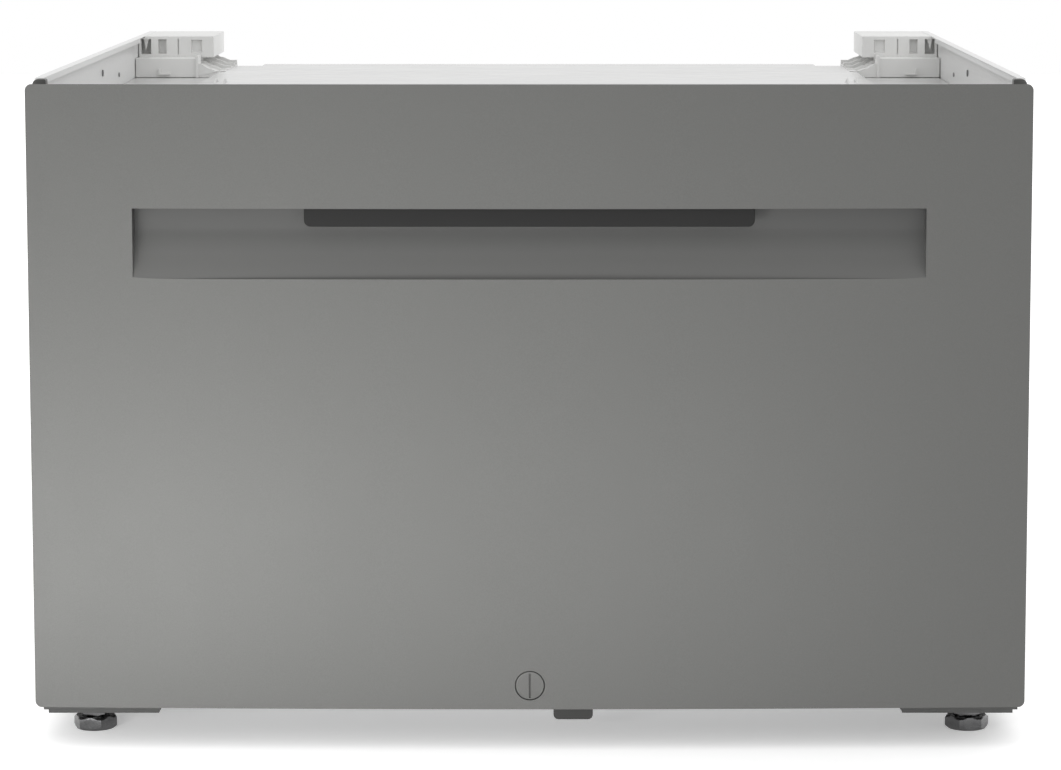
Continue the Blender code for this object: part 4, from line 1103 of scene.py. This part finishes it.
def build_stator():
    """Laminated ring with a wound coil on each of its poles."""
    poles, section = 24, 0.0052

    def coils(bm):
        for k in range(poles):
            angle = tau * k / poles
            along = Vector((cos(angle), sin(angle), 0))
            across = Vector((-along.y, along.x, 0))
            loops = []
            for i in range(21):
                swell = 0.0003 * (1 - cos(tau * i * 3 / 5))
                middle = Vector((0, AXIS_Y, 0.107)) + along * (0.0665 + 0.03 * i / 20)
                wide, tall = section + swell, 0.0072 + swell
                loops.append([middle + across * u + Vector((0, 0, v))
                              for u, v in rounded(-wide, wide, -tall, tall, 0.0022, 3)])
            add_loft(bm, loops)

    def steel(bm):
        add_turned(bm, [(0.0345, 0.103), (0.066, 0.103), (0.066, 0.111), (0.0345, 0.111)],
                   AXIS, "Z", 96, closed=True)
        for k in range(poles):
            outline = [around(AXIS, reach, tau * k / poles + turn * 0.105)
                       for reach, turns in ((0.097, (-1, 0, 1)), (0.1038, (1, 0, -1)))
                       for turn in turns]
            add_prism(bm, outline, "Z", 0.1, 0.114)
    made = make("wound_stator", coils, "copper")
    made.data.materials.append(LOOK["zinc"])
    core = make("stator_steel", steel)
    for face in core.data.polygons:
        face.material_index = 1
    join_meshes(made, [core])
    stand_for(made, "stator", 40)


def build_rear():
    """Sheet with two pressed ribs, and pan-head screws round its border."""
    low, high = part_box("rear_panel")
    skin = 0.3717
    panel = refined("rear_panel", "white", 0.0006)

    def ribs(bm):
        for centre in (0.190, 0.275):
            loops = []
            for inset, y in ((0.0, skin - 0.0004), (0.0, skin + 0.0002), (0.003, skin + 0.0022)):
                half, tall = 0.150 - inset, 0.016 - inset
                outline = rounded(-half, half, centre - tall, centre + tall, 0.015 - inset, 10)
                loops.append([(x, y, z) for x, z in outline])
            add_loft(bm, loops)
    join_meshes(panel, [make("ribs", ribs)])
    stand_for(panel, "rear_panel", 30)
    rows = (low.z + 0.012, high.z - 0.014)
    places = [(x, z) for z in rows for x in (-0.300, -0.100, 0.100, 0.300)]
    places += [(x, 0.215) for x in (-0.332, 0.332)]

    def screws(bm):
        for x, z in places:
            add_turned(bm, [(0.0042, skin + 0.0001), (0.0042, skin + 0.0009),
                            (0.0036, skin + 0.0018), (0.0022, skin + 0.0023)], (x, z), "Y", 28)
    made = make("rear_screws", screws, "steel")
    for wide, tall in ((0.0018, 0.0003), (0.0003, 0.0018)):
        def slits(bm):
            for x, z in places:
                add_box(bm, (x - wide, skin + 0.0014, z - tall), (x + wide, skin + 0.004, z + tall))
        combine(made, slits)
    soften(made, 30)
    place(made, "cabinet")


def build_indicators():
    """Raised ticks round the dial, and a row of small lamps on the control strip."""
    low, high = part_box("control_panel")
    middle = (low.y + high.y) / 2
    sunk, proud = high.z - 0.0002, high.z + 0.0002

    def ticks(bm):
        for k in range(12):
            angle = radians(30 * k)
            along = Vector((cos(angle), sin(angle)))
            across = Vector((-along.y, along.x)) * (0.0007 if k % 3 == 0 else 0.0004)
            near, far = (Vector(DIAL) + along * reach for reach in (0.0181, 0.0194))
            add_prism(bm, [near - across, far - across, far + across, near + across], "Z",
                      sunk, proud)
    place(make("dial_ticks", ticks, "pale"), "drawer")

    def lamps(bm):
        for k in range(6):
            add_turned(bm, [(0.0016, sunk), (0.0016, proud), (0.001, high.z + 0.0004)],
                       (-0.060 + 0.020 * k, middle), "Z", 20)
    made = make("indicator_lamps", lamps, "pale")
    soften(made, 40)
    place(made, "drawer")


def build_cabinet():
    for word, side in SIDES:
        build_corner_block(word, side)
        build_side(word, side)
    build_top_cover()
    build_rear()


# node: (look, edge rounding in metres)
REFINED = {
    "base_frame": ("base", 0.0006),
    **{f"{word}_{member}_rail": ("zinc", 0.0004)
       for member in ("outer", "middle", "inner") for word, _ in SIDES},
    "lock_catch": ("dark", 0.0004),
    "inlet_valve": ("pale", 0.0005),
    "control_board": ("pale", 0.0008),
    "drawer_bin": ("zinc", 0.0008),
    "drain_pump": ("dark", 0.0005),
    "control_panel": ("screen", 0.0006),
    "outer_tub": ("pale", 0.0005),
    "lock_cam": ("zinc", 0.0003),
    "detergent_flap": ("deck", 0.0004),
}


def make_refined():
    for name, (look, width) in REFINED.items():
        stand_for(refined(name, look, width), name)


for build in (build_front_panel, build_lever, build_lock, build_posts, build_liner, build_feet,
              build_cabinet, build_turned, build_dial, build_indicators, build_deck, build_lid,
              build_pulsator, build_hoses, build_struts, build_lever_spring, build_stator,
              make_refined):
    build()


# ---- studio and camera

def make_studio():
    def floor(bm):
        x, y = FLOOR_HALF
        bm.faces.new([bm.verts.new((u, v, 0.0)) for u, v in ((-x, -y), (-x, y), (x, y), (x, -y))])
    stage = make("studio_sweep", floor)
    made = new_material("studio_sweep", grey(0.93), 0.6, Emission_Strength=FLOOR_GLOW,
                        Emission_Color=(1, 1, 1, 1))
    tint(made, noise(made, 3.0), grey(0.92), grey(0.94))
    stage.data.materials.append(made)


def add_light(name, kind, power):
    lamp = bpy.data.lights.new(name, kind)
    lamp.energy = power
    return add_object(name, lamp), lamp


def area_light(name, place_at, aim, size, power):
    made, lamp = add_light(name, "AREA", power)
    lamp.shape = "RECTANGLE"
    lamp.size, lamp.size_y = size
    made.location = place_at
    made.rotation_euler = (Vector(aim) - Vector(place_at)).to_track_quat("-Z", "Y").to_euler()


def make_lights():
    """A white surround, a soft sun from one side, and lamps low in front."""
    world = bpy.data.worlds.new("studio")
    world.use_nodes = True
    background = world.node_tree.nodes["Background"]
    background.inputs["Strength"].default_value = WORLD_LIGHT
    background.inputs["Color"].default_value = (1, 1, 1, 1)
    bpy.context.scene.world = world
    made, sun = add_light("side_sun", "SUN", SIDE_SUN)
    sun.angle = radians(SIDE_SUN_ANGLE)
    made.rotation_euler = [radians(turn) for turn in SIDE_SUN_TURN]
    for name, values in LAMPS.items():
        area_light(name, *values)
    bpy.data.objects["key_left"].visible_glossy = False


def make_camera():
    data = bpy.data.cameras.new("camera")
    data.sensor_width = 36
    data.lens = CAMERA_LENS
    data.shift_x, data.shift_y = CAMERA_SHIFT
    data.clip_end = 60
    camera = add_object("camera", data)
    camera.location = CAMERA_PLACE
    camera.rotation_euler = (radians(CAMERA_PITCH), 0, 0)
    bpy.context.scene.camera = camera
    bpy.context.scene.view_settings.view_transform = "Standard"


make_lights()
make_studio()
make_camera()
